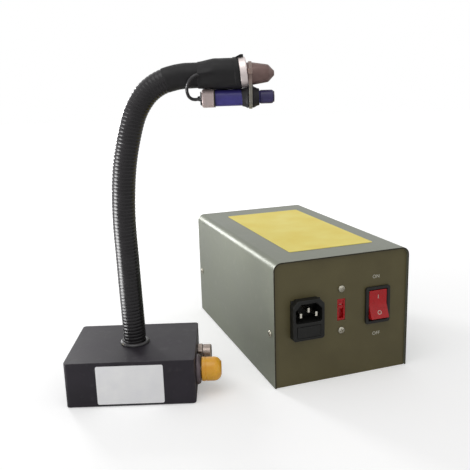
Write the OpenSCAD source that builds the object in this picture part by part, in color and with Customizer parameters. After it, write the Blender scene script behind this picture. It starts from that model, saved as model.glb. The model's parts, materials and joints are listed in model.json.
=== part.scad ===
// Ionizing air snake: a bendable ionizing nozzle on a steel base, with its mains power unit.
// Millimetres. Origin in the middle of the base's underside, front towards -Y, +Z up.

/* [Base] */
// Width of the base
base_w = 105; // [98:1:130]
// Depth of the base
base_d = 82; // [78:1:110]
// Height of the base
base_h = 38.5; // [37:0.5:60]
// Sheet thickness of the base housing
base_wall = 1.5; // [1:0.1:2]
// Radius of the base's upright edges
base_edge_r = 3; // [2.4:0.2:5]
// Thickness of the floor plate
plate_t = 3; // [2.5:0.5:4]
// Thickness of the ballast slab
ballast_t = 9; // [6:1:10]
// Height of the two fittings on the right-hand wall
fitting_z = 21; // [20.5:0.5:23]
// Place of the air-flow valve along the right-hand wall
valve_y = -21; // [-23:0.5:-19]
// Place of the air inlet along the right-hand wall
inlet_y = 13; // [8:0.5:20]
// Radius of the panel flange behind the knob
flange_r = 12.5; // [11:0.5:14]
// Thickness of the panel flange behind the knob
flange_t = 4; // [3:0.5:6]
// Radius of the air-flow knob
knob_r = 10; // [8:0.5:12]
// Length of the air-flow knob
knob_len = 16.5; // [13:0.5:22]
// Radius of the bore that takes the air supply tube
inlet_bore_r = 3.05; // [2.5:0.05:3.3]
// How far the air inlet stands out of the wall
inlet_len = 12.3; // [10:0.1:18]
// Place of the cable socket along the rear wall
socket_x = 20; // [16:1:24]
// Radius of the cable socket's barrel
socket_r = 6.5; // [6:0.25:8]
// Width of the front label
label_w = 54; // [30:1:80]
// Height of the front label
label_h = 33; // [15:1:34]

/* [Neck] */
// Outer radius of the bendable tube
hose_r = 9.5; // [9:0.1:10.8]
// Height of the neck's foot, from the base to the first bend
foot_len = 14.5; // [13:0.5:20]
// Length of each of the three upright sections
straight_len = 32; // [26:1:40]
// Length of the lower, nearly upright section
rise_len = 41; // [28:1:50]
// Length of the section where the neck starts to turn
turn_len = 36; // [26:1:44]
// Length of each short section in the crook
crook_len = 14; // [13.5:0.5:18]
// Radius of the collar ring round the foot
foot_collar_r = 12.4; // [11.6:0.2:15]
// Height of the collar ring round the foot
foot_collar_h = 2.2; // [1.5:0.1:4]

/* [Head] */
// Length of bare tube between the last bend and the boot
bare_end = 12; // [10:0.5:16]
// Length of the shrink boot
boot_len = 32; // [28:1:40]
// Wall of the boot along its middle
boot_wall = 1.75; // [1.4:0.05:3]
// Width of the collar ring behind the nozzle
ring_w = 5.4; // [3:0.2:6]
// Radius of the collar ring
ring_r = 11.7; // [10.5:0.1:12.5]
// Tilt of the collar ring
ring_tilt = 6; // [0:0.5:6]
// Length of the nozzle
nozzle_len = 27.5; // [24:0.5:34]
// Radius of the nozzle where the tie holds it
nozzle_r = 8.6; // [7.4:0.1:8.8]
// Radius of the nozzle's mouth
mouth_r = 1.6; // [1.5:0.1:3]
// Radius of the sensor's barrel
sensor_r = 6.4; // [6:0.1:7]
// Radius of the sensor's nose
sensor_nose_r = 5.3; // [4.5:0.1:6]
// Radius of the sensor's rear cap
sensor_cap_r = 7.2; // [6.6:0.1:8]
// Largest radius of the rubber saddle
saddle_r = 8.5; // [8.4:0.1:10]
// Width of the cable tie
tie_w = 2.6; // [2:0.1:3]

/* [Power unit] */
// Width of the power unit
unit_w = 127; // [120:1:160]
// Depth of the power unit
unit_d = 218; // [180:1:260]
// Height of the power unit
unit_h = 110; // [104:1:130]
// Sheet thickness of the cover and chassis
case_t = 1.2; // [0.8:0.1:1.8]
// Radius of the cover's upper edges
case_edge_r = 7; // [4:0.5:12]
// How far the front panel lies behind the cover's edge
panel_recess = 1.8; // [1:0.2:4]
// Thickness of the front panel
panel_t = 1.5; // [1:0.1:2]
// Place of the unit's front left corner, to the right
unit_x = 118; // [112:1:140]
// Place of the unit's front left corner, to the rear
unit_y = -22; // [-40:1:0]
// Turn of the unit
unit_turn = 18.2; // [0:0.1:20]
// Place of the mains inlet across the panel
inlet_u = 29; // [24:0.5:33]
// Height of the mains inlet's middle
inlet_z = 59.5; // [50:0.5:70]
// Width of the mains inlet's bezel
inlet_w = 28.5; // [28:0.5:34]
// Height of the mains inlet's bezel
inlet_h = 35; // [34.5:0.5:40]
// Place of the voltage selector across the panel
selector_u = 62.5; // [58:0.5:66]
// Place of the mains switch across the panel
switch_u = 97; // [92:0.5:102]
// Height of the selector's and the switch's middle
switch_z = 61.5; // [54:0.5:68]
// Width of the switch's bezel
switch_w = 23.5; // [23:0.5:28]
// Height of the switch's bezel
switch_h = 33; // [32:0.5:38]
// Tilt of the rocker to either side
rocker_tilt = 11; // [6:0.5:12]

/* [Hidden] */
$fn = 64;

// Clearances
fit_gap = 0.1;         // round pieces in their bores
seat_gap = 0.3;        // soft or curved pieces beside each other
plate_gap = 0.2;       // sheets inside sheets
over = 1;              // cuts run this far past a face

// Base
rim_lift = 0.5;
inner_r = base_edge_r - base_wall;
inner_w = base_w - 2 * base_wall;
inner_d = base_d - 2 * base_wall;
ceiling_z = base_h - base_wall;
boss_inset = 6.5;
boss_r = 3.5;
screw_r = 1.5;
screw_len = 11;
screw_head_r = 2.9;
screw_head_t = 1.5;
ballast_w = base_w - 2 * (boss_inset + boss_r + over);
ballast_d = base_d - 2 * (boss_inset + boss_r + over);
ballast_top = plate_t + ballast_t;
label_t = 0.3;
label_r = 1.5;
label_z = 18.8;

// Fittings, measured outwards from the wall that carries them
bush_r = 5;
valve_body_len = 18;
valve_body_r = 7.5;
stem_r = 3;
stem_tail = 11;
knob_gap = 0.6;
knob_start = flange_t + knob_gap;
knob_bore_len = 11;
knob_fillet = 2.5;
inlet_hex_r = 8.3;
inlet_hex_t = 4.5;
inlet_thread_r = 4.9;
inlet_tail = 9;
inlet_spigot_r = 5.6;
inlet_nut_r = 7;
inlet_nut_front = 1;
inlet_bore_len = 12;
inlet_stop = 1;
inlet_nut_clear = 0.5;
nut_t = 4;
socket_z = 21;
socket_flange_r = 9;
socket_flange_t = 2;
socket_len = 11;
socket_body_r = 5.6;
socket_tail = 13;
socket_wall = 1.3;
socket_pin_r = 0.6;
socket_pin_at = 2.5;

// Air and electrical pieces in the base
tube_r = 2.5;
hv_r = 1.3;
signal_r = 1.1;
solenoid_at = [6, -23.5];
solenoid_size = [28, 19, 13];
coil_r = 8;
coil_h = 8.5;
board_at = [-31, 0];
board_size = [30, 52, 1.6];
board_lift = 4;
spacer_r = 2.5;
spacer_inset = 6;
plug_at = [-20, 8];
plug_size = [5, 8, 4.4];
inlet_tube_reach = 9;
valve_tube_reach = 15;
solenoid_port_up = 6;

// Neck: the bend centres follow from section lengths and their lean from upright
crook_lead = 1;
section_len = [straight_len, straight_len, straight_len, rise_len, turn_len,
               crook_len + crook_lead, crook_len, crook_len, crook_len];
section_lean = [-1.5, -1, -1.5, 4.5, 14, 26, 40, 61.5, 78.5];
head_lean = 90;
bend_max = 20;
section_count = len(section_len);
ball_inset = 2.1;
ball_r = hose_r - ball_inset;
socket_gap = 0.3;
ball_wall = 1.8;
neck_bore_r = ball_r - ball_wall;
ball_cut = 3;
rim_gap = hose_r * tan(bend_max / 2) + plate_gap;
spigot_r = 8;
spigot_len = 8;
neck_nut_r = 13.6;
neck_nut_t = 5;
air_offset = [0, -2.2];
hv_offset = [1.9, 2.4];
signal_offset = [-1.9, 2.4];
path_steps = 4;
air_reach = [7, 10];    // curve handles where a line leaves its port and enters the foot
hv_reach = [14, 10];
signal_reach = [9, 9];

// Head, measured along its axis from the last bend
end_len = 28;
boot_gap = 0.25;
boot_bore_r = hose_r + boot_gap;
boot_end = bare_end + boot_len;
boot_edge_t = 0.65;
boot_rear_r = boot_bore_r + boot_edge_t;
boot_r = boot_bore_r + boot_wall;
boot_lift = 1;          // fuller on its upper side
boot_top = boot_r + boot_lift;
boot_taper = 13;
lip_flare = 0.2;
lip_len = 3;
lip_edge = 1;
boot_reach = 3;         // beyond the nozzle's seat, before the lip is cut along the ring
lock_w = 6.4;
lock_ramp = 5.5;        // from the boot's end back to where the strap comes up
lock_foot = 0.9;
lock_crest = 1.4;
lock_reach = 3.7;
lock_rise = 2.4;
lock_sink = 0.6;
boot_lip_r = boot_r + lip_flare;
ring_play = 0.35;
ring_bore_r = nozzle_r + ring_play;
ring_from_boot = 1.1;
ring_lift = 1.2;
ring_at = boot_end + ring_from_boot + ring_w / 2;
ring_gap = 0.25;
holder_tail = 8.2;
spigot_wall = 2.1;
holder_spigot_r = nozzle_r - spigot_wall;
nozzle_straight = 10.5;
nozzle_brow = 4.6;
nozzle_taper = 1.9;
nozzle_bevel = [2.9, 2.7];
nozzle_wall = 3;
mouth_len = 2;
mouth_rim = 0.3;
air_hole_r = 1.3;
air_hole_at = 3.6;
needle_r = 0.75;
needle_tip = 3;
needle_back = 3;
needle_start = 4;
tie_from_boot = 8.7;
tie_at = boot_end + tie_from_boot;
tie_t = 0.8;
tie_gap = 0.15;
tie_head = [3, 3.2, 4.2];
tie_head_up = 2;
sensor_gap = 0.1;
sensor_drop = boot_r - boot_lift + max(sensor_cap_r, sensor_r + lip_flare) + sensor_gap;
cap_start = 14.6;
cap_end = 25;
cap_round = [[2.2, 0], [0.6, 1.6], [0, 3]];
saddle_len = 13.2;
saddle_start = tie_at - saddle_len / 2;
saddle_groove = 3.6;
groove_depth = 0.4;
saddle_groove_r = saddle_r - groove_depth;
saddle_edge = 0.4;
saddle_shoulder = [0.9, 4.2];
web_w = 10;
web_len = 6.4;
barrel_end = saddle_start + saddle_len + seat_gap;
nose_short = 0.8;
nose_end = boot_end + nozzle_len - nose_short;
lens_t = 0.6;
lens_rim = 1;
lead_r = 1.3;

// Lead of the sensor, from its rear cap round the tube and under the boot's rear edge.
// Each point is [along the head, sideways, up] from the last bend.
lead_route = [[17, 0, -17.8], [12.5, 0, -18], [8.5, -0.6, -18.3], [5.4, -2.8, -16.8],
              [3.8, -6.2, -13.6], [3.6, -9.4, -9.4], [4.8, -11.6, -5.6], [7.2, -12.4, -2.4],
              [10, -12, -0.4], [13, -11, 0.6], [16, -10.6, 1]];

// Power unit, in its own frame: u across, v into its depth
case_gap = plate_gap;
panel_inset = case_t + case_gap;
flange_h = 14;
tab_t = 1.5;
tab_len = 12;
tab_h = 14;
cover_lift = 0.6;
cover_screw_z = 47;
cover_screw_in = 9;
cover_screw_r = 1.5;
cover_screw_head = [2.8, 1.6];
cover_screw_len = 5;
bezel_t = 7.5;
bezel_chamfer = [4.5, 1.5];
inlet_body = [26.8, 32, 22];
socket_size = [23.8, 16.4, 17];
socket_up = 6;
socket_chamfer = [5, 1.2];
drawer_size = [21, 9.6, 24];
drawer_down = 10.2;
drawer_wall = 2;
fuse_r = 2.5;
fuse_len = 20;
pin_size = [2, 4, 16];
pin_spread = 7;
earth_up = 4;
pin_lift = 0.4;
selector_window = [7.4, 19.2];
selector_boss_back = 0.4;
selector_ear = [11, 45, 1.5];
selector_body = [15, 28, 12];
slider_slot = [4.4, 15.6, 3];
slider_size = [4, 7, 2.6];
slider_notch = [1.2, 0.8];
selector_screw_up = 18.6;
selector_screw_head = [3.1, 1.8];
selector_screw_spare = 2;
switch_bezel_t = 2.2;
switch_body = [20.5, 29.4, 20];
switch_well = [18.2, 28.2, 12];
switch_corner_r = 2;
pivot_back = 1.2;
pivot_r = 1.5;
rocker_half = 12.6;
rocker_mid = 3.4;
rocker_rise = 2.6;
rocker_heel = 1;
rocker_play = 0.8;
pivot_play = 0.3;
rocker_w = switch_well[0] - rocker_play;
top_label_size = [81, 165, 0.25];
top_label_r = 2;
top_label_shift = 3;
top_label_u = unit_w / 2 + top_label_shift;
core_size = [66, 40, 55];
core_limb = 22;
core_window = [11, 33];
core_shift = [8, 15];
core_at = [unit_w / 2 + core_shift[0], unit_d / 2 + core_shift[1]];
coil_gap = 0.2;
coil_out = 10.5;
output_u = 40;
output_z = 55;
output_flange = [10, 2.5];
output_barrel = [7.5, 12];
output_bore_r = 4;
output_tail = [7, 15];

// Flat outlines
module rounded_rect(w, h, r) {
    square([w - 2 * r, h], center = true);
    square([w, h - 2 * r], center = true);
    for (x = [-1, 1], y = [-1, 1])
        translate([x * (w / 2 - r), y * (h / 2 - r)]) circle(r);
}

module chamfered_rect(w, h, top, bottom) {
    polygon([[-w / 2 + bottom, -h / 2], [w / 2 - bottom, -h / 2], [w / 2, -h / 2 + bottom],
             [w / 2, h / 2 - top], [w / 2 - top, h / 2], [-w / 2 + top, h / 2],
             [-w / 2, h / 2 - top], [-w / 2, -h / 2 + bottom]]);
}

module block(size, low) translate([-size[0] / 2, -size[1] / 2, low]) cube(size);

// Tubes swept along a list of points
function unit(v) = v / norm(v);
function heading(path, i) =
    i == 0 ? unit(path[1] - path[0]) :
    i == len(path) - 1 ? unit(path[i] - path[i - 1]) :
    unit(path[i + 1] - path[i - 1]);
function carried(path, i, side) =
    let (t = heading(path, i), s = unit(side - (side * t) * t))
    i == len(path) - 1 ? [s] : concat([s], carried(path, i + 1, s));
function any_side(t) = abs(t[1]) < 0.8 ? [0, 1, 0] : [1, 0, 0];
function curve(a, b, c, d, steps) = [for (i = [0:steps - 1]) let (t = i / steps)
    (1 - t) ^ 3 * a + 3 * t * (1 - t) ^ 2 * b + 3 * t ^ 2 * (1 - t) * c + t ^ 3 * d];

module tube_along(path, r, sides) {
    across = carried(path, 0, any_side(heading(path, 0)));
    last = len(path) - 1;
    points = [for (i = [0:last]) let (s = across[i], u = cross(heading(path, i), s))
        for (j = [0:sides - 1]) let (a = 360 * j / sides) path[i] + r * (cos(a) * s + sin(a) * u)];
    walls = [for (i = [0:last - 1], j = [0:sides - 1]) let (k = (j + 1) % sides)
        [i * sides + j, (i + 1) * sides + j, (i + 1) * sides + k, i * sides + k]];
    start = [for (j = [0:sides - 1]) j];
    finish = [for (j = [sides - 1:-1:0]) last * sides + j];
    polyhedron(points, concat([start], walls, [finish]));
}

// Neck geometry
function aim(lean) = [sin(lean), 0, cos(lean)];
function bend_at(k) = k == 0 ? [0, 0, base_h + foot_len] :
    bend_at(k - 1) + section_len[k - 1] * aim(section_lean[k - 1]);
function lean_of(k) = k < 0 ? 0 : k < section_count ? section_lean[k] : head_lean;
function mitre(k) = (lean_of(k - 1) + lean_of(k)) / 2;
function bend_from(k) = k == 0 ? bend_at(0) - foot_len / 2 * aim(0) : (bend_at(k - 1) + bend_at(k)) / 2;
function bend_to(k) = k == section_count ? bend_at(k) + bare_end / 2 * aim(head_lean) :
    (bend_at(k) + bend_at(k + 1)) / 2;
function bend_point(k, t, off) =
    let (a = bend_from(k), b = bend_at(k), c = bend_to(k),
         p = (1 - t) ^ 2 * a + 2 * t * (1 - t) * b + t ^ 2 * c,
         h = unit((1 - t) * (b - a) + t * (c - b)))
    p + off[0] * [h[2], 0, -h[0]] + [0, off[1], 0];
function neck_path(off) = [for (k = [0:section_count], i = [0:path_steps - 1])
    bend_point(k, i / path_steps, off)];
function foot_entry(off) = [off[0], off[1], ceiling_z - spigot_len];
function head_point(along, off) = bend_at(section_count) + along * aim(head_lean)
    + off[0] * [cos(head_lean), 0, -sin(head_lean)] + [0, off[1], 0];

module at_bend(k, lean) translate(bend_at(k)) rotate([0, lean, 0]) children();
module cut_below(k) at_bend(k, mitre(k)) translate([0, 0, rim_gap - 2 * hose_r])
    block([4 * hose_r, 4 * hose_r, 2 * hose_r], 0);
module cut_above(k) at_bend(k, mitre(k)) block([4 * hose_r, 4 * hose_r, 2 * hose_r], -rim_gap);
module bend_ball(k) intersection() {
    at_bend(k, 0) sphere(ball_r);
    at_bend(k, mitre(k)) block([4 * hose_r, 4 * hose_r, 4 * hose_r], ball_cut - 4 * hose_r);
}
module bend_socket(k) at_bend(k, 0) sphere(ball_r + socket_gap);

module neck_section(k) {
    reach = section_len[k] + 2 * hose_r;
    color("#232023") difference() {
        union() {
            difference() {
                at_bend(k, section_lean[k]) translate([0, 0, -hose_r]) cylinder(r = hose_r, h = reach);
                cut_below(k);
                cut_above(k + 1);
            }
            bend_ball(k + 1);
        }
        bend_socket(k);
        at_bend(k, section_lean[k]) translate([0, 0, -hose_r]) cylinder(r = neck_bore_r, h = reach);
    }
}

// Frames
module at_bosses() for (x = [-1, 1], y = [-1, 1])
    translate([x * (base_w / 2 - boss_inset), y * (base_d / 2 - boss_inset), 0]) children();
module on_right_wall(y) translate([base_w / 2, y, fitting_z]) rotate([0, 90, 0]) children();
module on_rear_wall(x) translate([x, base_d / 2, socket_z]) rotate([-90, 0, 0]) children();
module at_head() at_bend(section_count, head_lean) children();
module at_ring() translate([0, 0, ring_at]) rotate([0, -ring_tilt, 0]) children();
module at_sensor() at_head() translate([sensor_drop, 0, 0]) children();
module at_unit() translate([unit_x, unit_y, 0]) rotate([0, 0, unit_turn]) children();
module on_panel(u, z) at_unit() translate([u, panel_recess, z]) rotate([90, 0, 0]) children();
module on_unit_rear(u, z) at_unit() translate([u, unit_d - panel_recess, z]) rotate([-90, 0, 0]) children();

// Base
module base_housing() {
    color("#2a2b2e") difference() {
        union() {
            difference() {
                translate([0, 0, rim_lift]) linear_extrude(base_h - rim_lift)
                    rounded_rect(base_w, base_d, base_edge_r);
                translate([0, 0, -over]) linear_extrude(ceiling_z + over)
                    rounded_rect(inner_w, inner_d, inner_r);
            }
            at_bosses() translate([0, 0, plate_t]) cylinder(r = boss_r, h = base_h - plate_t - base_wall / 2);
        }
        at_bosses() translate([0, 0, plate_t - over]) cylinder(r = screw_r + fit_gap, h = screw_len);
        translate([0, 0, ceiling_z - over]) cylinder(r = spigot_r + fit_gap, h = base_wall + 2 * over);
        on_right_wall(valve_y) translate([0, 0, -base_wall - over])
            cylinder(r = bush_r + fit_gap, h = base_wall + 2 * over);
        on_right_wall(inlet_y) translate([0, 0, -base_wall - over])
            cylinder(r = inlet_thread_r + fit_gap, h = base_wall + 2 * over);
        on_rear_wall(socket_x) translate([0, 0, -base_wall - over])
            cylinder(r = socket_body_r + fit_gap, h = base_wall + 2 * over);
    }
}

module base_plate() {
    color("#8a8c8e") difference() {
        linear_extrude(plate_t) rounded_rect(inner_w - 2 * plate_gap, inner_d - 2 * plate_gap, inner_r);
        at_bosses() {
            translate([0, 0, -over]) cylinder(r = screw_r + fit_gap, h = plate_t + 2 * over);
            cylinder(r1 = screw_head_r + fit_gap, r2 = screw_r + fit_gap, h = screw_head_t + fit_gap);
        }
    }
}

module base_plate_screws() {
    color("#b8babc") at_bosses() translate([0, 0, fit_gap]) {
        cylinder(r1 = screw_head_r, r2 = screw_r, h = screw_head_t);
        translate([0, 0, screw_head_t / 2]) cylinder(r = screw_r, h = screw_len - screw_head_t);
    }
}

module ballast_weight() color("#5a5a5c") block([ballast_w, ballast_d, ballast_t], plate_t);

module neck_collar() {
    color("#2b2b2d") translate([0, 0, base_h]) rotate_extrude()
        polygon([[hose_r + fit_gap, 0], [foot_collar_r, 0], [foot_collar_r, foot_collar_h / 2],
                 [foot_collar_r - foot_collar_h / 2, foot_collar_h], [hose_r + fit_gap, foot_collar_h]]);
}

module panel_nut(r, bore_r, t) difference() {
    cylinder(r = r, h = t, $fn = 6);
    translate([0, 0, -over]) cylinder(r = bore_r + fit_gap, h = t + 2 * over);
}

module panel_nuts() {
    color("#c0c0bc") {
        translate([0, 0, ceiling_z - neck_nut_t]) panel_nut(neck_nut_r, spigot_r, neck_nut_t);
        on_right_wall(inlet_y) translate([0, 0, -base_wall - nut_t])
            panel_nut(inlet_hex_r, inlet_thread_r, nut_t);
        on_rear_wall(socket_x) translate([0, 0, -base_wall - nut_t])
            panel_nut(socket_flange_r, socket_body_r, nut_t);
    }
}

module gooseneck_foot() {
    color("#232023") difference() {
        union() {
            translate([0, 0, ceiling_z - spigot_len])
                cylinder(r = spigot_r, h = spigot_len + base_wall + over);
            difference() {
                translate([0, 0, base_h]) cylinder(r = hose_r, h = foot_len);
                cut_above(0);
            }
            bend_ball(0);
        }
        translate([0, 0, ceiling_z - spigot_len - over])
            cylinder(r = neck_bore_r, h = spigot_len + base_wall + foot_len + hose_r);
    }
}

module air_inlet() {
    color("#8f8a84") on_right_wall(inlet_y) difference() {
        union() {
            translate([0, 0, -inlet_tail]) cylinder(r = inlet_thread_r, h = inlet_tail + inlet_hex_t);
            cylinder(r = inlet_hex_r, h = inlet_hex_t, $fn = 6);
            cylinder(r = inlet_spigot_r, h = inlet_len - inlet_nut_front - fit_gap);
        }
        translate([0, 0, inlet_len - inlet_bore_len]) cylinder(r = inlet_bore_r, h = inlet_bore_len);
        translate([0, 0, -inlet_tail - over])
            cylinder(r = inlet_bore_r - inlet_stop, h = inlet_tail + inlet_len);
    }
}

module air_inlet_nut() {
    low = inlet_hex_t + fit_gap;
    color("#a39d97") on_right_wall(inlet_y) difference() {
        rotate_extrude() polygon([[0, low], [inlet_nut_r, low], [inlet_nut_r, inlet_len - over],
                                  [inlet_nut_r - over, inlet_len], [0, inlet_len]]);
        cylinder(r = inlet_spigot_r + fit_gap, h = inlet_len - inlet_nut_front);
        cylinder(r = inlet_bore_r + inlet_nut_clear, h = inlet_len + over);
    }
}

module flow_valve() {
    color("#b09a5c") on_right_wall(valve_y) difference() {
        union() {
            translate([0, 0, -base_wall - valve_body_len])
                cylinder(r = valve_body_r, h = valve_body_len, $fn = 6);
            translate([0, 0, -base_wall - over]) cylinder(r = bush_r, h = base_wall + over + flange_t);
        }
        translate([0, 0, -stem_tail - fit_gap])
            cylinder(r = stem_r + fit_gap, h = stem_tail + flange_t + over);
    }
}

module valve_flange() {
    color("#6f6a66") on_right_wall(valve_y) difference() {
        rotate_extrude() polygon([[0, 0], [flange_r, 0], [flange_r, flange_t / 2],
                                  [flange_r - flange_t / 3, flange_t], [0, flange_t]]);
        translate([0, 0, -over]) cylinder(r = bush_r + fit_gap, h = flange_t + 2 * over);
    }
}

module valve_stem() {
    color("#c9c6c0") on_right_wall(valve_y) translate([0, 0, -stem_tail])
        cylinder(r = stem_r, h = stem_tail + knob_start + knob_bore_len - fit_gap);
}

module flow_knob() {
    tip = knob_start + knob_len;
    color("#ebb946") on_right_wall(valve_y) difference() {
        rotate_extrude() {
            polygon([[0, knob_start], [knob_r, knob_start], [knob_r, tip - knob_fillet],
                     [knob_r - knob_fillet, tip - knob_fillet], [knob_r - knob_fillet, tip], [0, tip]]);
            translate([knob_r - knob_fillet, tip - knob_fillet]) circle(knob_fillet);
        }
        translate([0, 0, knob_start - over]) cylinder(r = stem_r + fit_gap / 2, h = knob_bore_len + over);
    }
}

module cable_socket() {
    color("#3a3a3c") on_rear_wall(socket_x) {
        difference() {
            union() {
                translate([0, 0, -socket_tail]) cylinder(r = socket_body_r, h = socket_tail + over);
                cylinder(r = socket_flange_r, h = socket_flange_t);
                cylinder(r = socket_r, h = socket_len);
            }
            translate([0, 0, socket_flange_t]) cylinder(r = socket_r - socket_wall, h = socket_len);
        }
        for (a = [45:90:315]) rotate(a) translate([socket_pin_at, 0, socket_flange_t - over])
            cylinder(r = socket_pin_r, h = socket_len - 2 * over);
    }
}

module rating_label() {
    color("#f2f2f0") translate([0, -base_d / 2, label_z]) rotate([90, 0, 0])
        linear_extrude(label_t) rounded_rect(label_w, label_h, label_r);
}

module solenoid_valve() {
    color("#9a9c9e") translate([solenoid_at[0], solenoid_at[1], ballast_top]) {
        block(solenoid_size, 0);
        translate([0, 0, solenoid_size[2] - over]) cylinder(r = coil_r, h = coil_h + over);
    }
}

module control_board() {
    top = ballast_top + board_lift + board_size[2];
    color("#2f6b45") {
        translate([board_at[0], board_at[1], ballast_top]) {
            block(board_size, board_lift);
            for (x = [-1, 1], y = [-1, 1])
                translate([x * (board_size[0] / 2 - spacer_inset), y * (board_size[1] / 2 - spacer_inset), 0])
                    cylinder(r = spacer_r, h = board_lift + over);
        }
        translate([plug_at[0], plug_at[1], top - over])
            block([plug_size[0], plug_size[1], plug_size[2] + over], 0);
    }
}

// Supply tubes run from the air inlet to the valve, and from the valve to the solenoid
module supply_tubes() {
    tail = [base_w / 2 - inlet_tail, inlet_y, fitting_z];
    port = [base_w / 2 - base_wall - valve_body_len + 2 * tube_r,
            valve_y + valve_body_r * cos(30), fitting_z];
    valve_rear = base_w / 2 - base_wall - valve_body_len;
    solenoid_face = solenoid_at[0] + solenoid_size[0] / 2;
    color("#3c6fa8") {
        tube_along(concat([tail], curve(tail - [over, 0, 0], tail - [inlet_tube_reach, 0, 0],
                                        port + [0, valve_tube_reach, 0], port + [0, over, 0], 12),
                          [port + [0, over, 0], port]), tube_r, 10);
        translate([solenoid_face, valve_y, fitting_z]) rotate([0, 90, 0])
            cylinder(r = tube_r, h = valve_rear - solenoid_face);
    }
}

// Lines through the neck
module air_tube() {
    start = [solenoid_at[0], solenoid_at[1] + solenoid_size[1] / 2, ballast_top + solenoid_port_up];
    entry = foot_entry(air_offset);
    color("#3c6fa8") tube_along(concat(
        [start],
        curve(start + [0, over, 0], start + [0, air_reach[0], 0], entry - [0, 0, air_reach[1]], entry, 6),
        neck_path(air_offset),
        [head_point(bare_end / 2, air_offset), head_point(end_len, air_offset)]), tube_r, 10);
}

module high_voltage_lead() {
    start = [socket_x, base_d / 2 - socket_tail, socket_z];
    entry = foot_entry(hv_offset);
    color("#b03a30") tube_along(concat(
        [start],
        curve(start - [0, over, 0], start - [0, hv_reach[0], 0], entry - [0, 0, hv_reach[1]], entry, 8),
        neck_path(hv_offset),
        [head_point(bare_end / 2, hv_offset), head_point(end_len, hv_offset)]), hv_r, 8);
}

module signal_lead() {
    start = [plug_at[0] + plug_size[0] / 2, plug_at[1],
             ballast_top + board_lift + board_size[2] + plug_size[2] / 2];
    entry = foot_entry(signal_offset);
    color("#303030") tube_along(concat(
        [start],
        curve(start + [over, 0, 0], start + [signal_reach[0], 0, 0],
              entry - [0, 0, signal_reach[1]], entry, 6),
        neck_path(signal_offset),
        [head_point(bare_end / 2, signal_offset), head_point(end_len, signal_offset)]), signal_r, 8);
}

// Head
module gooseneck_end() {
    color("#232023") difference() {
        at_head() translate([0, 0, -hose_r]) cylinder(r = hose_r, h = end_len + hose_r);
        cut_below(section_count);
        bend_socket(section_count);
        at_head() translate([0, 0, -hose_r]) cylinder(r = neck_bore_r, h = end_len + 2 * hose_r);
    }
}

// Locking head of the band that holds the boot: a ramp up from the boot and a block over the ring's edge
module boot_lock() {
    under = ring_r + ring_lift + ring_gap;
    foot = boot_top - lock_sink;
    crest = boot_top + lock_rise;
    translate([0, lock_w / 2, 0]) rotate([90, 0, 0]) linear_extrude(lock_w)
        polygon([[-foot, boot_end - lock_ramp], [-crest, boot_end + lock_crest],
                 [-crest, boot_end + lock_reach], [-under, boot_end + lock_reach],
                 [-under, boot_end - lock_foot], [-foot, boot_end - lock_foot]]);
}

module head_boot() {
    reach = boot_end + boot_reach;
    full = bare_end + boot_taper;
    color("#1c1b1d") at_head() {
        difference() {
            union() {
                hull() {
                    translate([0, 0, bare_end]) cylinder(r = boot_rear_r, h = boot_edge_t, $fn = 48);
                    translate([-boot_lift, 0, full]) cylinder(r = boot_r - fit_gap, h = over, $fn = 48);
                }
                translate([-boot_lift, 0, 0]) rotate_extrude()
                    polygon([[0, full], [boot_r, full], [boot_r, boot_end - lip_len],
                             [boot_lip_r, boot_end - lip_edge], [boot_lip_r, reach], [0, reach]]);
            }
            translate([0, 0, bare_end - over]) cylinder(r = boot_bore_r, h = boot_len + boot_reach + 2 * over);
            at_ring() translate([0, 0, -ring_w / 2 - ring_gap])
                cylinder(r = 2 * boot_r, h = 2 * boot_reach);
        }
        boot_lock();
    }
}

module nozzle_collar() {
    color("#cfcbc8") at_head() at_ring() difference() {
        translate([-ring_lift, 0, -ring_w / 2]) cylinder(r = ring_r, h = ring_w);
        translate([0, 0, -ring_w / 2 - over]) cylinder(r = ring_bore_r, h = ring_w + 2 * over);
    }
}

module nozzle() {
    tip = boot_end + nozzle_len;
    taper = boot_end + nozzle_straight;
    brow = tip - nozzle_brow;
    brow_r = nozzle_r - nozzle_taper;
    bore_r = nozzle_r - nozzle_wall;
    spigot_end = boot_end + holder_tail;
    color("#6e5a55") at_head() rotate_extrude()
        polygon([[holder_spigot_r + fit_gap, boot_end], [nozzle_r, boot_end], [nozzle_r, taper],
                 [brow_r, brow], [brow_r - nozzle_bevel[0], brow + nozzle_bevel[1]],
                 [mouth_r + mouth_rim, tip], [mouth_r, tip], [mouth_r, tip - mouth_len],
                 [bore_r, brow - over], [bore_r, spigot_end],
                 [holder_spigot_r + fit_gap, spigot_end]]);
}

module needle_holder() {
    low = end_len + fit_gap;
    color("#e6e2da") at_head() difference() {
        union() {
            translate([0, 0, low]) cylinder(r = boot_bore_r - fit_gap, h = boot_end - low);
            translate([0, 0, boot_end - over])
                cylinder(r = holder_spigot_r, h = holder_tail + over - fit_gap);
        }
        translate([0, 0, low - over]) cylinder(r = needle_r + fit_gap / 2, h = boot_len + over);
        for (a = [0:60:300]) rotate(a) translate([air_hole_at, 0, low - over])
            cylinder(r = air_hole_r, h = boot_len + over);
    }
}

module emitter_needle() {
    tip = boot_end + nozzle_len - needle_back;
    start = end_len + needle_start;
    color("#d8d8da") at_head() {
        translate([0, 0, start]) cylinder(r = needle_r, h = tip - needle_tip - start);
        translate([0, 0, tip - needle_tip]) cylinder(r1 = needle_r, r2 = 0.1, h = needle_tip);
    }
}

module sensor_barrel() color("#413c8c") at_sensor() translate([0, 0, cap_end])
    cylinder(r = sensor_r, h = barrel_end - cap_end);

module sensor_rear_cap() {
    color("#c8b4b4") at_sensor() rotate_extrude()
        polygon(concat([[0, cap_start]], [for (p = cap_round) [sensor_cap_r - p[0], cap_start + p[1]]],
                       [[sensor_cap_r, cap_end], [0, cap_end]]));
}

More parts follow.
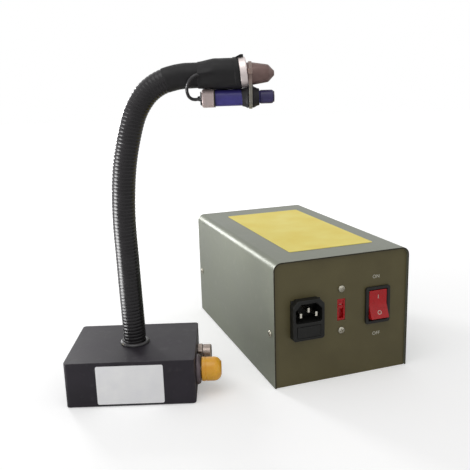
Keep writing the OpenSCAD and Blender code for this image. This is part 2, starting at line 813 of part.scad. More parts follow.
module sensor_nose() color("#322d5a") at_sensor() translate([0, 0, barrel_end])
    cylinder(r = sensor_nose_r, h = nose_end - barrel_end);

module sensor_lens() color("#5a1a28") at_sensor() translate([0, 0, nose_end])
    cylinder(r = sensor_nose_r - lens_rim, h = lens_t);

module sensor_saddle() {
    mid = saddle_len / 2;
    bore = sensor_r + fit_gap;
    groove = saddle_groove / 2;
    shoulder_r = saddle_r - saddle_shoulder[0];
    web_up = sensor_drop - nozzle_r + over;
    ring_front = ring_at - boot_end + ring_w / 2 + ring_r * sin(ring_tilt) + ring_gap;
    color("#1b1b1d") difference() {
        union() {
            at_sensor() translate([0, 0, saddle_start]) rotate_extrude()
                polygon([[bore, 0], [bore + saddle_edge, 0], [shoulder_r, mid - saddle_shoulder[1]],
                         [saddle_r, mid - groove - groove_depth], [saddle_groove_r, mid - groove],
                         [saddle_groove_r, mid + groove], [saddle_r, mid + groove + groove_depth],
                         [shoulder_r, mid + saddle_shoulder[1]], [bore + saddle_edge, saddle_len],
                         [bore, saddle_len]]);
            at_sensor() translate([-web_up, -web_w / 2, tie_at - web_len / 3])
                cube([web_up - sensor_r, web_w, web_len]);
        }
        at_sensor() translate([0, 0, saddle_start - over])
            cylinder(r = bore, h = saddle_len + 2 * over);
        at_head() translate([0, 0, boot_end]) cylinder(r = nozzle_r + tie_gap, h = nozzle_len);
        at_head() translate([0, 0, boot_end - over])
            translate([-ring_lift, 0, 0]) cylinder(r = ring_r + seat_gap, h = ring_front + over);
    }
}

// Outline of a band round two circles that lie a given distance apart
module belt(r1, r2, apart) hull() {
    circle(r1);
    translate([apart, 0]) circle(r2);
}

module cable_tie() {
    inner_1 = nozzle_r + tie_gap;
    inner_2 = saddle_groove_r + tie_gap;
    color("#b9b6b2") at_head() translate([0, 0, tie_at - tie_w / 2]) {
        linear_extrude(tie_w) difference() {
            belt(inner_1 + tie_t, inner_2 + tie_t, sensor_drop);
            belt(inner_1, inner_2, sensor_drop);
        }
        translate([-tie_head[2] / 2 - tie_head_up, -inner_1 - tie_t / 2 - tie_head[0],
                   (tie_w - tie_head[1]) / 2])
            cube([tie_head[2], tie_head[0], tie_head[1]]);
    }
}

module sensor_lead() color("#1a1a1c")
    tube_along([for (p = lead_route) bend_at(section_count) + p], lead_r, 8);

// Power unit
module case_outline(inset) {
    translate([inset, 0]) square([unit_w - 2 * inset, unit_h - case_edge_r]);
    translate([case_edge_r, 0]) square([unit_w - 2 * case_edge_r, unit_h - inset]);
    for (u = [case_edge_r, unit_w - case_edge_r])
        translate([u, unit_h - case_edge_r]) circle(case_edge_r - inset);
}

module through_depth(from, to) translate([0, to, 0]) rotate([90, 0, 0]) linear_extrude(to - from) children();

// Cover screws: both sides, near the front and the rear edge
module at_cover_screws() for (v = [cover_screw_in, unit_d - cover_screw_in]) {
    translate([0, v, cover_screw_z]) rotate([0, -90, 0]) children();
    translate([unit_w, v, cover_screw_z]) rotate([0, 90, 0]) children();
}

// Folded tabs behind a panel, one at each side, that take the cover screws
module screw_tabs(v) for (u = [panel_inset, unit_w - panel_inset - tab_t])
    translate([u, v, cover_screw_z - tab_h / 2]) cube([tab_t, tab_len, tab_h]);

module screw_holes() at_cover_screws() translate([0, 0, -panel_inset - tab_t - over])
    cylinder(r = cover_screw_r + fit_gap, h = panel_inset + tab_t + 2 * over);

module unit_cover() {
    color("#7d7a64") at_unit() difference() {
        through_depth(0, unit_d) case_outline(0);
        through_depth(-over, unit_d + over) translate([0, -over]) case_outline(case_t);
        through_depth(-over, unit_d + over) case_outline(case_t);
        translate([-over, -over, -over]) cube([unit_w + 2 * over, unit_d + 2 * over, over + cover_lift]);
        screw_holes();
    }
}

module unit_chassis() {
    front = panel_recess + panel_t;
    rear = unit_d - panel_recess;
    floor_w = unit_w - 2 * panel_inset;
    color("#77735c") difference() {
        at_unit() difference() {
            union() {
                translate([panel_inset, front, 0]) cube([floor_w, rear - front, case_t]);
                for (u = [panel_inset, unit_w - panel_inset - case_t])
                    translate([u, front, 0]) cube([case_t, rear - front, flange_h]);
                through_depth(rear - panel_t, rear) case_outline(panel_inset);
                screw_tabs(rear - panel_t - tab_len + over);
            }
            screw_holes();
        }
        on_unit_rear(output_u, output_z) translate([0, 0, -panel_t - over])
            cylinder(r = output_tail[0] + fit_gap, h = panel_t + 2 * over);
    }
}

module panel_cut(size) translate([0, 0, -panel_t - over]) linear_extrude(panel_t + 2 * over)
    square([size[0] + 2 * plate_gap, size[1] + 2 * plate_gap], center = true);

module unit_front_panel() {
    color("#5c543c") difference() {
        at_unit() difference() {
            union() {
                through_depth(panel_recess, panel_recess + panel_t) case_outline(panel_inset);
                screw_tabs(panel_recess + panel_t - over);
            }
            screw_holes();
        }
        on_panel(inlet_u, inlet_z) panel_cut(inlet_body);
        on_panel(selector_u, switch_z) panel_cut(selector_window);
        on_panel(switch_u, switch_z) panel_cut(switch_body);
        at_selector_screws() translate([0, 0, -panel_t - over])
            cylinder(r = screw_r + fit_gap, h = panel_t + 2 * over);
    }
}

module pan_screw(head, r, length) {
    cylinder(r1 = head[0], r2 = head[0] - head[1] / 2, h = head[1]);
    translate([0, 0, -length]) cylinder(r = r, h = length + head[1] / 2);
}

module cover_screws() color("#a8a698") at_unit() at_cover_screws()
    pan_screw(cover_screw_head, cover_screw_r, cover_screw_len);

module mains_inlet() {
    color("#2a2a28") on_panel(inlet_u, inlet_z) difference() {
        union() {
            linear_extrude(bezel_t) chamfered_rect(inlet_w, inlet_h, bezel_chamfer[0], bezel_chamfer[1]);
            block([inlet_body[0], inlet_body[1], inlet_body[2] + over], -inlet_body[2]);
        }
        translate([0, socket_up, bezel_t - socket_size[2]]) linear_extrude(socket_size[2] + over)
            chamfered_rect(socket_size[0], socket_size[1], socket_chamfer[0], socket_chamfer[1]);
        translate([0, -drawer_down, 0])
            block([drawer_size[0] + 2 * plate_gap, drawer_size[1] + 2 * plate_gap, drawer_size[2] + 2 * over],
                  bezel_t - drawer_size[2] - plate_gap);
    }
}

module inlet_pins() {
    color("#d6d2c4") on_panel(inlet_u, inlet_z) translate([0, socket_up + pin_lift, 0])
        for (p = [[-pin_spread, -earth_up / 2], [pin_spread, -earth_up / 2], [0, earth_up / 2]])
            translate([p[0], p[1], 0]) block(pin_size, bezel_t - socket_size[2]);
}

module fuse_drawer() {
    low = bezel_t - drawer_size[2];
    color("#2f2f2d") on_panel(inlet_u, inlet_z) translate([0, -drawer_down, 0]) difference() {
        block(drawer_size, low);
        translate([-fuse_r - plate_gap, -drawer_size[1] / 2 + drawer_wall, low + drawer_wall / 2])
            cube([2 * fuse_r + 2 * plate_gap, drawer_size[1], fuse_len + 2 * plate_gap]);
    }
}

module fuse() {
    color("#cfd2d0") on_panel(inlet_u, inlet_z)
        translate([0, -drawer_down - drawer_size[1] / 2 + drawer_wall + fuse_r + fit_gap,
                   bezel_t - drawer_size[2] + drawer_wall / 2 + plate_gap])
            cylinder(r = fuse_r, h = fuse_len);
}

module at_selector_screws() for (s = [-1, 1])
    on_panel(selector_u, switch_z + s * selector_screw_up) children();

module voltage_selector() {
    color("#96262a") difference() {
        on_panel(selector_u, switch_z) difference() {
            union() {
                block([selector_window[0], selector_window[1], panel_t + over], -panel_t - over
                      - selector_boss_back + fit_gap);
                block(selector_ear, -panel_t - selector_ear[2]);
                block(selector_body, -panel_t - selector_body[2]);
            }
            block([slider_slot[0], slider_slot[1], slider_slot[2] + panel_t],
                  -panel_t - slider_slot[2] + over);
        }
        at_selector_screws() translate([0, 0, -panel_t - selector_ear[2] - over])
            cylinder(r = screw_r + fit_gap, h = panel_t + selector_ear[2] + over);
    }
}

module selector_slider() {
    low = -panel_t - slider_slot[2] + over + fit_gap;
    color("#b8312f") on_panel(selector_u, switch_z)
        translate([0, slider_slot[1] / 2 - slider_size[1] / 2 - plate_gap, 0]) difference() {
            block(slider_size, low);
            translate([0, 0, low + slider_size[2] - slider_notch[1]])
                block([slider_size[0] + over, slider_notch[0], over], 0);
        }
}

module selector_screws() color("#d8d4c8") at_selector_screws()
    pan_screw(selector_screw_head, screw_r, panel_t + selector_ear[2] + selector_screw_spare);

module switch_housing() {
    color("#1e1e1c") on_panel(switch_u, switch_z) difference() {
        union() {
            linear_extrude(switch_bezel_t) rounded_rect(switch_w, switch_h, switch_corner_r);
            block([switch_body[0], switch_body[1], switch_body[2] + over], -switch_body[2]);
        }
        block([switch_well[0], switch_well[1], switch_well[2] + over], switch_bezel_t - switch_well[2]);
        translate([0, 0, -pivot_back]) rotate([0, 90, 0])
            cylinder(r = pivot_r + fit_gap, h = switch_body[0] + over, center = true);
    }
}

// Rocker at rest: upper end pressed in
module switch_rocker() {
    brow = rocker_mid + rocker_rise;
    color("#96262a") on_panel(switch_u, switch_z) translate([0, 0, -pivot_back])
        rotate([-rocker_tilt, 0, 0]) rotate([90, 0, 90]) {
            linear_extrude(rocker_w, center = true)
                polygon([[-rocker_half, brow], [0, rocker_mid], [rocker_half, brow],
                         [rocker_half, -rocker_heel], [rocker_half / 2, -rocker_mid],
                         [-rocker_half / 2, -rocker_mid], [-rocker_half, -rocker_heel]]);
            cylinder(r = pivot_r, h = switch_body[0] - pivot_play, center = true);
        }
}

module top_label() {
    color("#e8d755") at_unit() translate([top_label_u, unit_d / 2, unit_h]) linear_extrude(top_label_size[2])
        rounded_rect(top_label_size[0], top_label_size[1], top_label_r);
}

module transformer_core() {
    color("#4a4a4e") at_unit() translate([core_at[0], core_at[1], case_t]) difference() {
        block(core_size, 0);
        for (s = [-1, 1]) translate([s * (core_limb + core_window[0]) / 2, 0, 0])
            block([core_window[0], core_size[1] + 2 * over, core_window[1]],
                  (core_size[2] - core_window[1]) / 2);
    }
}

module transformer_coil() {
    low = (core_size[2] - core_window[1]) / 2 + coil_gap;
    high = core_window[1] - 2 * coil_gap;
    color("#a8693c") at_unit() translate([core_at[0], core_at[1], case_t]) difference() {
        block([core_limb + 2 * core_window[0] - 2 * coil_gap, core_size[1] + 2 * coil_out, high], low);
        block([core_limb + 2 * coil_gap, core_size[1] + 2 * coil_gap, high + 2 * over], low - over);
    }
}

module output_socket() {
    color("#2c2c2e") on_unit_rear(output_u, output_z) difference() {
        union() {
            translate([0, 0, -output_tail[1]]) cylinder(r = output_tail[0], h = output_tail[1] + over);
            cylinder(r = output_flange[0], h = output_flange[1]);
            cylinder(r = output_barrel[0], h = output_barrel[1]);
        }
        cylinder(r = output_bore_r, h = output_barrel[1] + over);
    }
}

base_housing();
base_plate();
base_plate_screws();
ballast_weight();
neck_collar();
panel_nuts();
gooseneck_foot();
air_inlet();
air_inlet_nut();
flow_valve();
valve_flange();
cable_socket();
rating_label();
solenoid_valve();
control_board();
supply_tubes();
air_tube();
high_voltage_lead();
signal_lead();
flow_knob();
valve_stem();
neck_section(0);  // gooseneck_link_1
neck_section(1);  // gooseneck_link_2
neck_section(2);  // gooseneck_link_3
neck_section(3);  // gooseneck_link_4
neck_section(4);  // gooseneck_link_5
neck_section(5);  // gooseneck_link_6
neck_section(6);  // gooseneck_link_7
neck_section(7);  // gooseneck_link_8
neck_section(8);  // gooseneck_link_9
gooseneck_end();
head_boot();
nozzle_collar();
nozzle();
needle_holder();
emitter_needle();
sensor_barrel();
sensor_rear_cap();
sensor_nose();
sensor_lens();
sensor_saddle();
cable_tie();
sensor_lead();
unit_cover();
unit_chassis();
unit_front_panel();
cover_screws();
mains_inlet();
inlet_pins();
fuse_drawer();
fuse();
voltage_selector();
selector_slider();
selector_screws();
switch_housing();
switch_rocker();
top_label();
transformer_core();
transformer_coil();
output_socket();
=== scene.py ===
import json
from bisect import bisect_left
from math import atan2, cos, exp, floor, pi, radians, sin, sqrt, tan

import bmesh
import bpy
from mathutils import Matrix, Vector, noise
from mathutils.bvhtree import BVHTree

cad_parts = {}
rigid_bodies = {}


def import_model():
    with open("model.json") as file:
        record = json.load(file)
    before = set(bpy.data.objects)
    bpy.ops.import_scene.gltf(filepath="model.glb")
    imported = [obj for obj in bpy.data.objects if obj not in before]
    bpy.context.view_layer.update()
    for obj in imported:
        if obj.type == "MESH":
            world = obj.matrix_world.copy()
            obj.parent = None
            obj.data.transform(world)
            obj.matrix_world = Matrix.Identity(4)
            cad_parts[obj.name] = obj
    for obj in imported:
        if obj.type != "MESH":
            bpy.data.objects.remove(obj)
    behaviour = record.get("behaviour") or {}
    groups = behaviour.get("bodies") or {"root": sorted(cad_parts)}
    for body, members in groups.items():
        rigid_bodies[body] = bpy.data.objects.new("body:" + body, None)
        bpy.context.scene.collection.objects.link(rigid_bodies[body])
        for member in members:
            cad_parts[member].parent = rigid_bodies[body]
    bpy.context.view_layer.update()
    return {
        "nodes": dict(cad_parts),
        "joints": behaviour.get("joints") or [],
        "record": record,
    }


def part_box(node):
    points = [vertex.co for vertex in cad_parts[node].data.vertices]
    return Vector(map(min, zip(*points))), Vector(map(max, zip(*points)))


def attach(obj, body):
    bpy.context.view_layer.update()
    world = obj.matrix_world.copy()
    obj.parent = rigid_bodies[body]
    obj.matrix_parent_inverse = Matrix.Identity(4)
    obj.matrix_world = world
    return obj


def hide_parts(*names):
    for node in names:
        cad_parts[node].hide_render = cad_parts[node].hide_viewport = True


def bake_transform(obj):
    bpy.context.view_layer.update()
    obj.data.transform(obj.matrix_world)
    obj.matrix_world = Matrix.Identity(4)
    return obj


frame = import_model()

mm = 0.001  # every size below is in millimetres
nodes = frame["nodes"]
joints = {joint["name"]: joint for joint in frame["joints"]}
bodyOf = {node: body for body, members in frame["record"]["behaviour"]["bodies"].items() for node in members}
upward = Vector((0, 0, 1))


def spun(angle, axis):
    return Matrix.Rotation(radians(angle), 4, axis)


def linked(name, data):
    holder = bpy.data.objects.new(name, data)
    bpy.context.scene.collection.objects.link(holder)
    return holder


def meshFrom(bm, name="passing"):
    # a bmesh as a mesh; the bmesh is done with then
    mesh = bpy.data.meshes.new(name)
    bm.to_mesh(mesh)
    bm.free()
    return mesh


# camera at the viewing angle of the picture
camera = {
    "place": (83, -518, 254),
    "yaw": 0.6,
    "pitch": 13.5,  # looking down
    "roll": -1.8,
    "lens": 49.4,
    "sensor": 36,
}


def addCamera():
    data = bpy.data.cameras.new("camera")
    data.lens = camera["lens"]
    data.sensor_width = camera["sensor"]
    holder = linked("camera", data)
    turn = spun(-camera["yaw"], "Z") @ spun(90 - camera["pitch"], "X") @ spun(camera["roll"], "Z")
    holder.matrix_world = Matrix.Translation(Vector(camera["place"]) * mm) @ turn
    bpy.context.scene.camera = holder


# studio: soft surroundings, a strip close on the left, a rim light behind, a broad box overhead
studio = {
    "fill": 0.54,  # what matt surfaces get from the surroundings
    "floorSide": 8000,
    "floorDrop": 0.05,
    "floorTone": 0.86,
    "floorLift": (0.3, 0.62),  # near and far, seen by the camera only
    "floorFade": (260, 1100),  # from where to where it fades into the white
    "strip": {"place": (-225, -30, 80), "aim": (0, 0, 190), "size": (150, 340), "power": 0.6, "spread": 75},
    "rim": {"place": (-475, 735, 330), "aim": (110, 60, 115), "size": (200, 300), "power": 3.3, "spread": 180},
    "overhead": {"place": (-150, -350, 1100), "aim": (90, 40, 80), "size": (900, 700), "power": 3.2, "spread": 180},
}


def addAreaLight(name, light):
    data = bpy.data.lights.new(name, "AREA")
    data.shape = "RECTANGLE"
    data.size = light["size"][0] * mm
    data.size_y = light["size"][1] * mm
    data.energy = light["power"]
    data.spread = radians(light["spread"])
    holder = linked(name, data)
    place = Vector(light["place"]) * mm
    heading = Vector(light["aim"]) * mm - place
    holder.matrix_world = Matrix.Translation(place) @ heading.to_track_quat("-Z", "Y").to_matrix().to_4x4()
    holder.visible_camera = False


def feed(tree, node, inputs):
    # plain values, or outputs of other nodes, into a node
    for key, value in inputs.items():
        if isinstance(value, bpy.types.NodeSocket):
            tree.links.new(value, node.inputs[key])
        else:
            node.inputs[key].default_value = value


def addNode(tree, kind, options=None, inputs=None):
    node = tree.nodes.new("ShaderNode" + kind)
    for key, value in (options or {}).items():
        setattr(node, key, value)
    feed(tree, node, inputs or {})
    return node


def computed(tree, operation, *values, kind="Math"):
    return addNode(tree, kind, {"operation": operation}, dict(enumerate(values))).outputs["Value"]


def ranged(tree, value, low, high, toLow, toHigh, **options):
    inputs = {"Value": value, "From Min": low, "From Max": high, "To Min": toLow, "To Max": toHigh}
    return addNode(tree, "MapRange", options, inputs).outputs["Result"]


def addWorld():
    world = bpy.data.worlds.new("studio")
    bpy.context.scene.world = world
    world.use_nodes = True
    tree = world.node_tree
    path = addNode(tree, "LightPath").outputs
    seen = computed(tree, "MAXIMUM", path["Is Camera Ray"], path["Is Glossy Ray"])
    seen = computed(tree, "MAXIMUM", seen, path["Is Transmission Ray"])
    level = ranged(tree, seen, 0, 1, studio["fill"], 1)
    feed(tree, tree.nodes["Background"], {"Color": (1, 1, 1, 1), "Strength": level})


def addFloor():
    bm = bmesh.new()
    bmesh.ops.create_grid(bm, x_segments=1, y_segments=1, size=studio["floorSide"] / 2 * mm)
    bmesh.ops.translate(bm, vec=(0, 0, -studio["floorDrop"] * mm), verts=bm.verts)
    mesh = meshFrom(bm, "floor")
    holder = linked("floor", mesh)
    material = bpy.data.materials.new("floor")
    material.use_nodes = True
    tree = material.node_tree
    seen = addNode(tree, "LightPath").outputs["Is Camera Ray"]
    away = computed(tree, "LENGTH", addNode(tree, "TexCoord").outputs["Object"], kind="VectorMath")
    near, far = (length * mm for length in studio["floorFade"])
    lift = ranged(tree, away, near, far, *studio["floorLift"], interpolation_type="SMOOTHSTEP")
    feed(tree, tree.nodes["Principled BSDF"], {
        "Base Color": (studio["floorTone"],) * 3 + (1,),
        "Roughness": 1,
        "Specular IOR Level": 0,
        "Emission Color": (1, 1, 1, 1),
        "Emission Strength": computed(tree, "MULTIPLY", seen, lift),
    })
    mesh.materials.append(material)


addCamera()
addWorld()
for name in ("strip", "rim", "overhead"):
    addAreaLight(name, studio[name])
addFloor()
bpy.context.scene.view_settings.view_transform = "Standard"
print("camera, light and floor are set")


# finishes, one for each slot of the record and two more; tones are screen colours, patch and grain are feature sizes
def surface(tones, patch, grain, bump, rough, **more):
    return dict(more, tones=tones, patch=patch, grain=grain, bump=bump, rough=rough)


looks = {
    "base_black": surface(((36, 33, 38), (46, 42, 49)), 34, 0.7, 0.03, (0.44, 0.56),
        gloss=0.24, wear=(96, 94, 96), scuff=0.12),
    "steel_plate": surface(((128, 130, 132), (146, 147, 149)), 18, 0.5, 0.01, (0.3, 0.45),
        metal=1.0, stretch=(0.08, 1, 1)),
    "screw_steel": surface(((164, 160, 146), (180, 176, 162)), 2, 0.2, 0.004, (0.22, 0.34), metal=1.0),
    "ballast_iron": surface(((84, 84, 86), (98, 97, 98)), 12, 0.9, 0.05, (0.55, 0.7), metal=0.7),
    "neck_black": surface(((24, 22, 24), (32, 30, 32)), 9, 0.5, 0.01, (0.22, 0.3), gloss=0.32),
    "collar_black": surface(((40, 39, 41), (52, 50, 52)), 5, 0.4, 0.01, (0.28, 0.4),
        gloss=0.45, wear=(176, 172, 168)),
    "nut_steel": surface(((182, 181, 176), (202, 200, 195)), 4, 0.3, 0.005, (0.24, 0.36), metal=1.0),
    "fitting_nickel": surface(((140, 128, 120), (164, 152, 144)), 3, 0.25, 0.005, (0.24, 0.38), metal=1.0),
    "valve_brass": surface(((186, 156, 88), (204, 176, 108)), 5, 0.3, 0.006, (0.26, 0.4), metal=1.0),
    "flange_grey": surface(((88, 78, 82), (104, 94, 97)), 5, 0.3, 0.006, (0.34, 0.46), metal=0.6),
    "knob_yellow": surface(((240, 180, 52), (232, 164, 36)), 8, 0.4, 0.004, (0.24, 0.34), gloss=0.5, sub=0.12),
    "socket_black": surface(((42, 42, 44), (54, 54, 56)), 4, 0.35, 0.008, (0.34, 0.46), gloss=0.4),
    "label_white": surface(((246, 246, 246), (239, 239, 241)), 11, 0.25, 0.003, (0.42, 0.55), gloss=0.3),
    "valve_alloy": surface(((156, 158, 160), (170, 171, 173)), 7, 0.6, 0.012, (0.38, 0.5), metal=1.0),
    "board_green": surface(((40, 100, 62), (52, 116, 74)), 5, 0.5, 0.008, (0.34, 0.44), bands=(1.6, (1, 0, 0), 0.02)),
    "tube_blue": surface(((56, 106, 164), (66, 118, 176)), 10, 0.5, 0.004, (0.26, 0.36), sub=0.1),
    "lead_red": surface(((166, 50, 44), (178, 60, 52)), 6, 0.3, 0.004, (0.36, 0.46)),
    "lead_black": surface(((27, 26, 28), (38, 36, 38)), 4, 0.35, 0.006, (0.3, 0.4), gloss=0.5),
    "boot_black": surface(((20, 19, 20), (26, 25, 26)), 6, 0.45, 0.02, (0.46, 0.6), gloss=0.25),
    "ring_silver": surface(((210, 198, 195), (224, 214, 212)), 6, 0.3, 0.004, (0.36, 0.44),
        metal=0.85, stretch=(1, 0.1, 0.1)),
    "nozzle_brown": surface(((104, 82, 78), (122, 100, 95)), 7, 0.4, 0.008, (0.36, 0.48), metal=0.35, gloss=0.4),
    "holder_white": surface(((224, 220, 210), (234, 230, 222)), 7, 0.4, 0.005, (0.36, 0.48), sub=0.1),
    "needle_steel": surface(((206, 206, 208), (220, 220, 222)), 3, 0.2, 0.002, (0.14, 0.22), metal=1.0),
    "sensor_blue": surface(((48, 44, 108), (57, 52, 121)), 8, 0.4, 0.006, (0.3, 0.4), gloss=0.4),
    "sensor_navy": surface(((43, 38, 80), (54, 47, 92)), 6, 0.4, 0.006, (0.32, 0.42), gloss=0.4),
    "cap_clear": surface(((168, 152, 149), (174, 159, 156)), 5, 0.5, 0.002, (0.4, 0.48),
        metal=0.2, gloss=0.5, sub=0.08),
    "lens_dark": surface(((46, 16, 26), (60, 22, 34)), 2, 0.3, 0.001, (0.05, 0.1), gloss=0.6),
    "saddle_black": surface(((24, 23, 25), (32, 30, 32)), 5, 0.4, 0.016, (0.5, 0.62), gloss=0.3),
    # the tie's top is tinted brownish by height: painted warm light
    "tie_natural": surface(((112, 110, 101), (124, 121, 112)), 4, 0.3, 0.004, (0.3, 0.42),
        sub=0.3, upper=((138, 118, 111), 248, 254)),
    "case_olive": surface(((109, 113, 99), (119, 123, 108)), 42, 0.55, 0.02, (0.34, 0.42),
        metal=0.18, gloss=0.36, wear=(190, 186, 168), scuff=0.05),
    "panel_olive": surface(((88, 81, 53), (97, 90, 60)), 36, 0.55, 0.018, (0.4, 0.5),
        gloss=0.32, wear=(140, 132, 108)),
    "inlet_black": surface(((21, 21, 20), (28, 28, 26)), 6, 0.35, 0.012, (0.42, 0.54), gloss=0.28),
    "pin_nickel": surface(((206, 202, 190), (220, 216, 204)), 2, 0.2, 0.003, (0.2, 0.3), metal=1.0),
    "fuse_glass": surface(((204, 210, 208), (218, 222, 220)), 3, 0.4, 0.001, (0.05, 0.1), clear=0.7),
    "switch_red": surface(((178, 18, 24), (166, 14, 20)), 7, 0.4, 0.004, (0.2, 0.3), gloss=0.4, sub=0.08),
    "switch_black": surface(((24, 24, 22), (32, 31, 29)), 6, 0.35, 0.01, (0.36, 0.48), gloss=0.35),
    "label_yellow": surface(((235, 217, 84), (232, 209, 82)), 26, 0.3, 0.003, (0.36, 0.48), gloss=0.35),
    # painted shadow for the gap round the unit's front panel
    "painted_shadow_edge": surface(((44, 40, 28), (54, 49, 36)), 12, 0.4, 0.008, (0.44, 0.56), gloss=0.25),
    "print_pale": surface(((196, 194, 180), (206, 204, 190)), 3, 0.2, 0.002, (0.45, 0.55), gloss=0.3),
    "core_steel": surface(((74, 74, 78), (92, 91, 94)), 6, 0.5, 0.01, (0.4, 0.52),
        metal=0.8, bands=(0.7, (-0.31, 0.95, 0), 0.06)),
    "coil_copper": surface(((172, 104, 58), (190, 122, 72)), 5, 0.4, 0.008, (0.28, 0.4),
        metal=0.7, bands=(0.9, (0, 0, 1), 0.12)),
}

# what all the finishes share
shading = {
    "spread": (0.3, 0.7),  # the part of a noise that is used
    "edge": {"radius": 0.9, "samples": 4, "turn": (0.995, 0.9), "most": 0.5, "patches": (0.4, 0.62)},
    "bandShade": 0.55,
    "bandRange": (-1, 0.2),
    "bandGain": 6,
    "scuffParts": 5,  # streaks to a patch
    "scuffRange": (0.56, 0.74),
    "depth": 2,  # how far light goes into a see-through material
    "depthTones": (1, 0.8, 0.6),
    "gloss": 0.5,  # where a finish has none of its own
}


def screenTone(color):
    # a screen colour as light
    return tuple((c / 255 / 12.92) if c < 11 else ((c / 255 + 0.055) / 1.055) ** 2.4 for c in color) + (1,)


def noiseAt(tree, coords, size, detail=3):
    inputs = {"Vector": coords, "Scale": 1 / (size * mm), "Detail": detail}
    return addNode(tree, "TexNoise", inputs=inputs).outputs["Fac"]


def mixTones(tree, factor, first, second):
    # the node's colour sockets go by number, as others have the same names
    return addNode(tree, "Mix", {"data_type": "RGBA"}, {"Factor": factor, 6: first, 7: second}).outputs[2]


# where an edge turns, as the rounded normal leaves the real one
def edgeMask(tree, patches):
    edge = shading["edge"]
    rounded = addNode(tree, "Bevel", {"samples": edge["samples"]}, {"Radius": edge["radius"] * mm}).outputs["Normal"]
    real = addNode(tree, "NewGeometry").outputs["Normal"]
    along = computed(tree, "DOT_PRODUCT", rounded, real, kind="VectorMath")
    worn = ranged(tree, along, *edge["turn"], 0, edge["most"])
    return computed(tree, "MULTIPLY", worn, ranged(tree, patches, *edge["patches"], 0, 1))


def makeFinish(name, look):
    material = bpy.data.materials.new("finish_" + name)
    material.use_nodes = True
    tree = material.node_tree
    coords = addNode(tree, "TexCoord").outputs["Object"]
    if "stretch" in look:  # brushed along one direction
        coords = addNode(tree, "Mapping", inputs={"Vector": coords, "Scale": look["stretch"]}).outputs["Vector"]
    patches = noiseAt(tree, coords, look["patch"])
    relief = noiseAt(tree, coords, look["grain"], detail=2)
    color = mixTones(tree, ranged(tree, patches, *shading["spread"], 0, 1), *map(screenTone, look["tones"]))
    if "bands" in look:  # windings, laminations or tracks, their furrows painted darker as painted shade
        size, axis, amount = look["bands"]
        along = computed(tree, "DOT_PRODUCT", coords, axis, kind="VectorMath")
        relief = computed(tree, "SINE", computed(tree, "MULTIPLY", along, 2 * pi / (size * mm)))
        darker = tuple(c * shading["bandShade"] for c in screenTone(look["tones"][0])[:3]) + (1,)
        furrow = ranged(tree, relief, *shading["bandRange"], amount * shading["bandGain"], 0)
        color = mixTones(tree, furrow, color, darker)
    if "upper" in look:  # painted warm light: the top is tinted towards another tone, by height
        tone, low, high = look["upper"]
        height = addNode(tree, "SeparateXYZ", inputs={0: coords}).outputs["Z"]
        color = mixTones(tree, ranged(tree, height, low * mm, high * mm, 0, 1), color, screenTone(tone))
    if "scuff" in look:  # faint rubbed streaks and dust
        rubbed = noiseAt(tree, coords, look["patch"] / shading["scuffParts"], detail=8)
        rubbed = ranged(tree, rubbed, *shading["scuffRange"], 0, look["scuff"])
        color = mixTones(tree, rubbed, color, screenTone(look["wear"]))
    if "wear" in look:
        color = mixTones(tree, edgeMask(tree, patches), color, screenTone(look["wear"]))
    bump = addNode(tree, "Bump", inputs={"Strength": 1, "Distance": look["bump"] * mm, "Height": relief})
    shader = tree.nodes["Principled BSDF"]
    feed(tree, shader, {
        "Base Color": color,
        "Roughness": ranged(tree, patches, *shading["spread"], *look["rough"]),
        "Normal": bump.outputs["Normal"],
        "Metallic": look.get("metal", 0),
        "Specular IOR Level": look.get("gloss", shading["gloss"]),
        "Transmission Weight": look.get("clear", 0),
    })
    if "sub" in look:  # light goes a little way in
        feed(tree, shader, {"Subsurface Weight": look["sub"], "Subsurface Radius": shading["depthTones"],
                            "Subsurface Scale": shading["depth"] * mm})
    return material


finishes = {name: makeFinish(name, look) for name, look in looks.items()}
slotOf = {name: node.data.materials[0].name for name, node in nodes.items()}
for name, node in nodes.items():
    node.data.materials[0] = finishes[slotOf[name]]
print("finishes:", len(finishes))


# shared modelling steps; closer than these distances points are one, and flat is an angle
clean = {"weld": 0.001, "cad": 0.002, "coil": 0.01, "sliver": 0.002, "flat": 0.5}


def turned(bm, outline, place=Matrix(), steps=64, closed=False):
    # an outline of (radius, height) spun about its axis, then put in place
    before = set(bm.verts)
    verts = [bm.verts.new((radius, 0, height)) for radius, height in outline]
    ends = verts[1:] + verts[:1] if closed else verts[1:]
    edges = [bm.edges.new(pair) for pair in zip(verts, ends)]
    bmesh.ops.spin(bm, geom=verts + edges, cent=(0, 0, 0), axis=(0, 0, 1), angle=2 * pi, steps=steps,
                   use_merge=True)
    made = [v for v in bm.verts if v not in before]
    bmesh.ops.remove_doubles(bm, verts=made, dist=clean["weld"])
    made = [v for v in bm.verts if v not in before]
    bmesh.ops.transform(bm, matrix=place, verts=made)
    return made


def boxed(bm, size, place):
    made = bmesh.ops.create_cube(bm, size=1)["verts"]
    bmesh.ops.scale(bm, vec=size, verts=made)
    bmesh.ops.transform(bm, matrix=place, verts=made)
    return made


def moved(bm, place):
    bmesh.ops.transform(bm, matrix=place, verts=bm.verts)


def sliced(bm, point, normal, **sides):
    # cut by a plane, and what lies on one side cleared if asked
    bmesh.ops.bisect_plane(bm, geom=bm.verts[:] + bm.edges[:] + bm.faces[:], plane_co=point, plane_no=normal, **sides)


def soften(bm, width, segments=3, minAngle=30, chosen=None):
    sharp = [e for e in bm.edges if len(e.link_faces) == 2 and e.calc_face_angle() > radians(minAngle)]
    sharp = [e for e in sharp if chosen is None or chosen(e)]
    bmesh.ops.bevel(bm, geom=sharp, offset=width, offset_type="OFFSET", segments=segments, profile=0.5,
                    affect="EDGES", clamp_overlap=True, material=-1)


def arc(center, radius, start, end, steps):
    # points of a round corner in an outline, angles in degrees from the radius direction
    angles = [radians(start + (end - start) * i / steps) for i in range(steps + 1)]
    return [(center[0] + radius * cos(a), center[1] + radius * sin(a)) for a in angles]


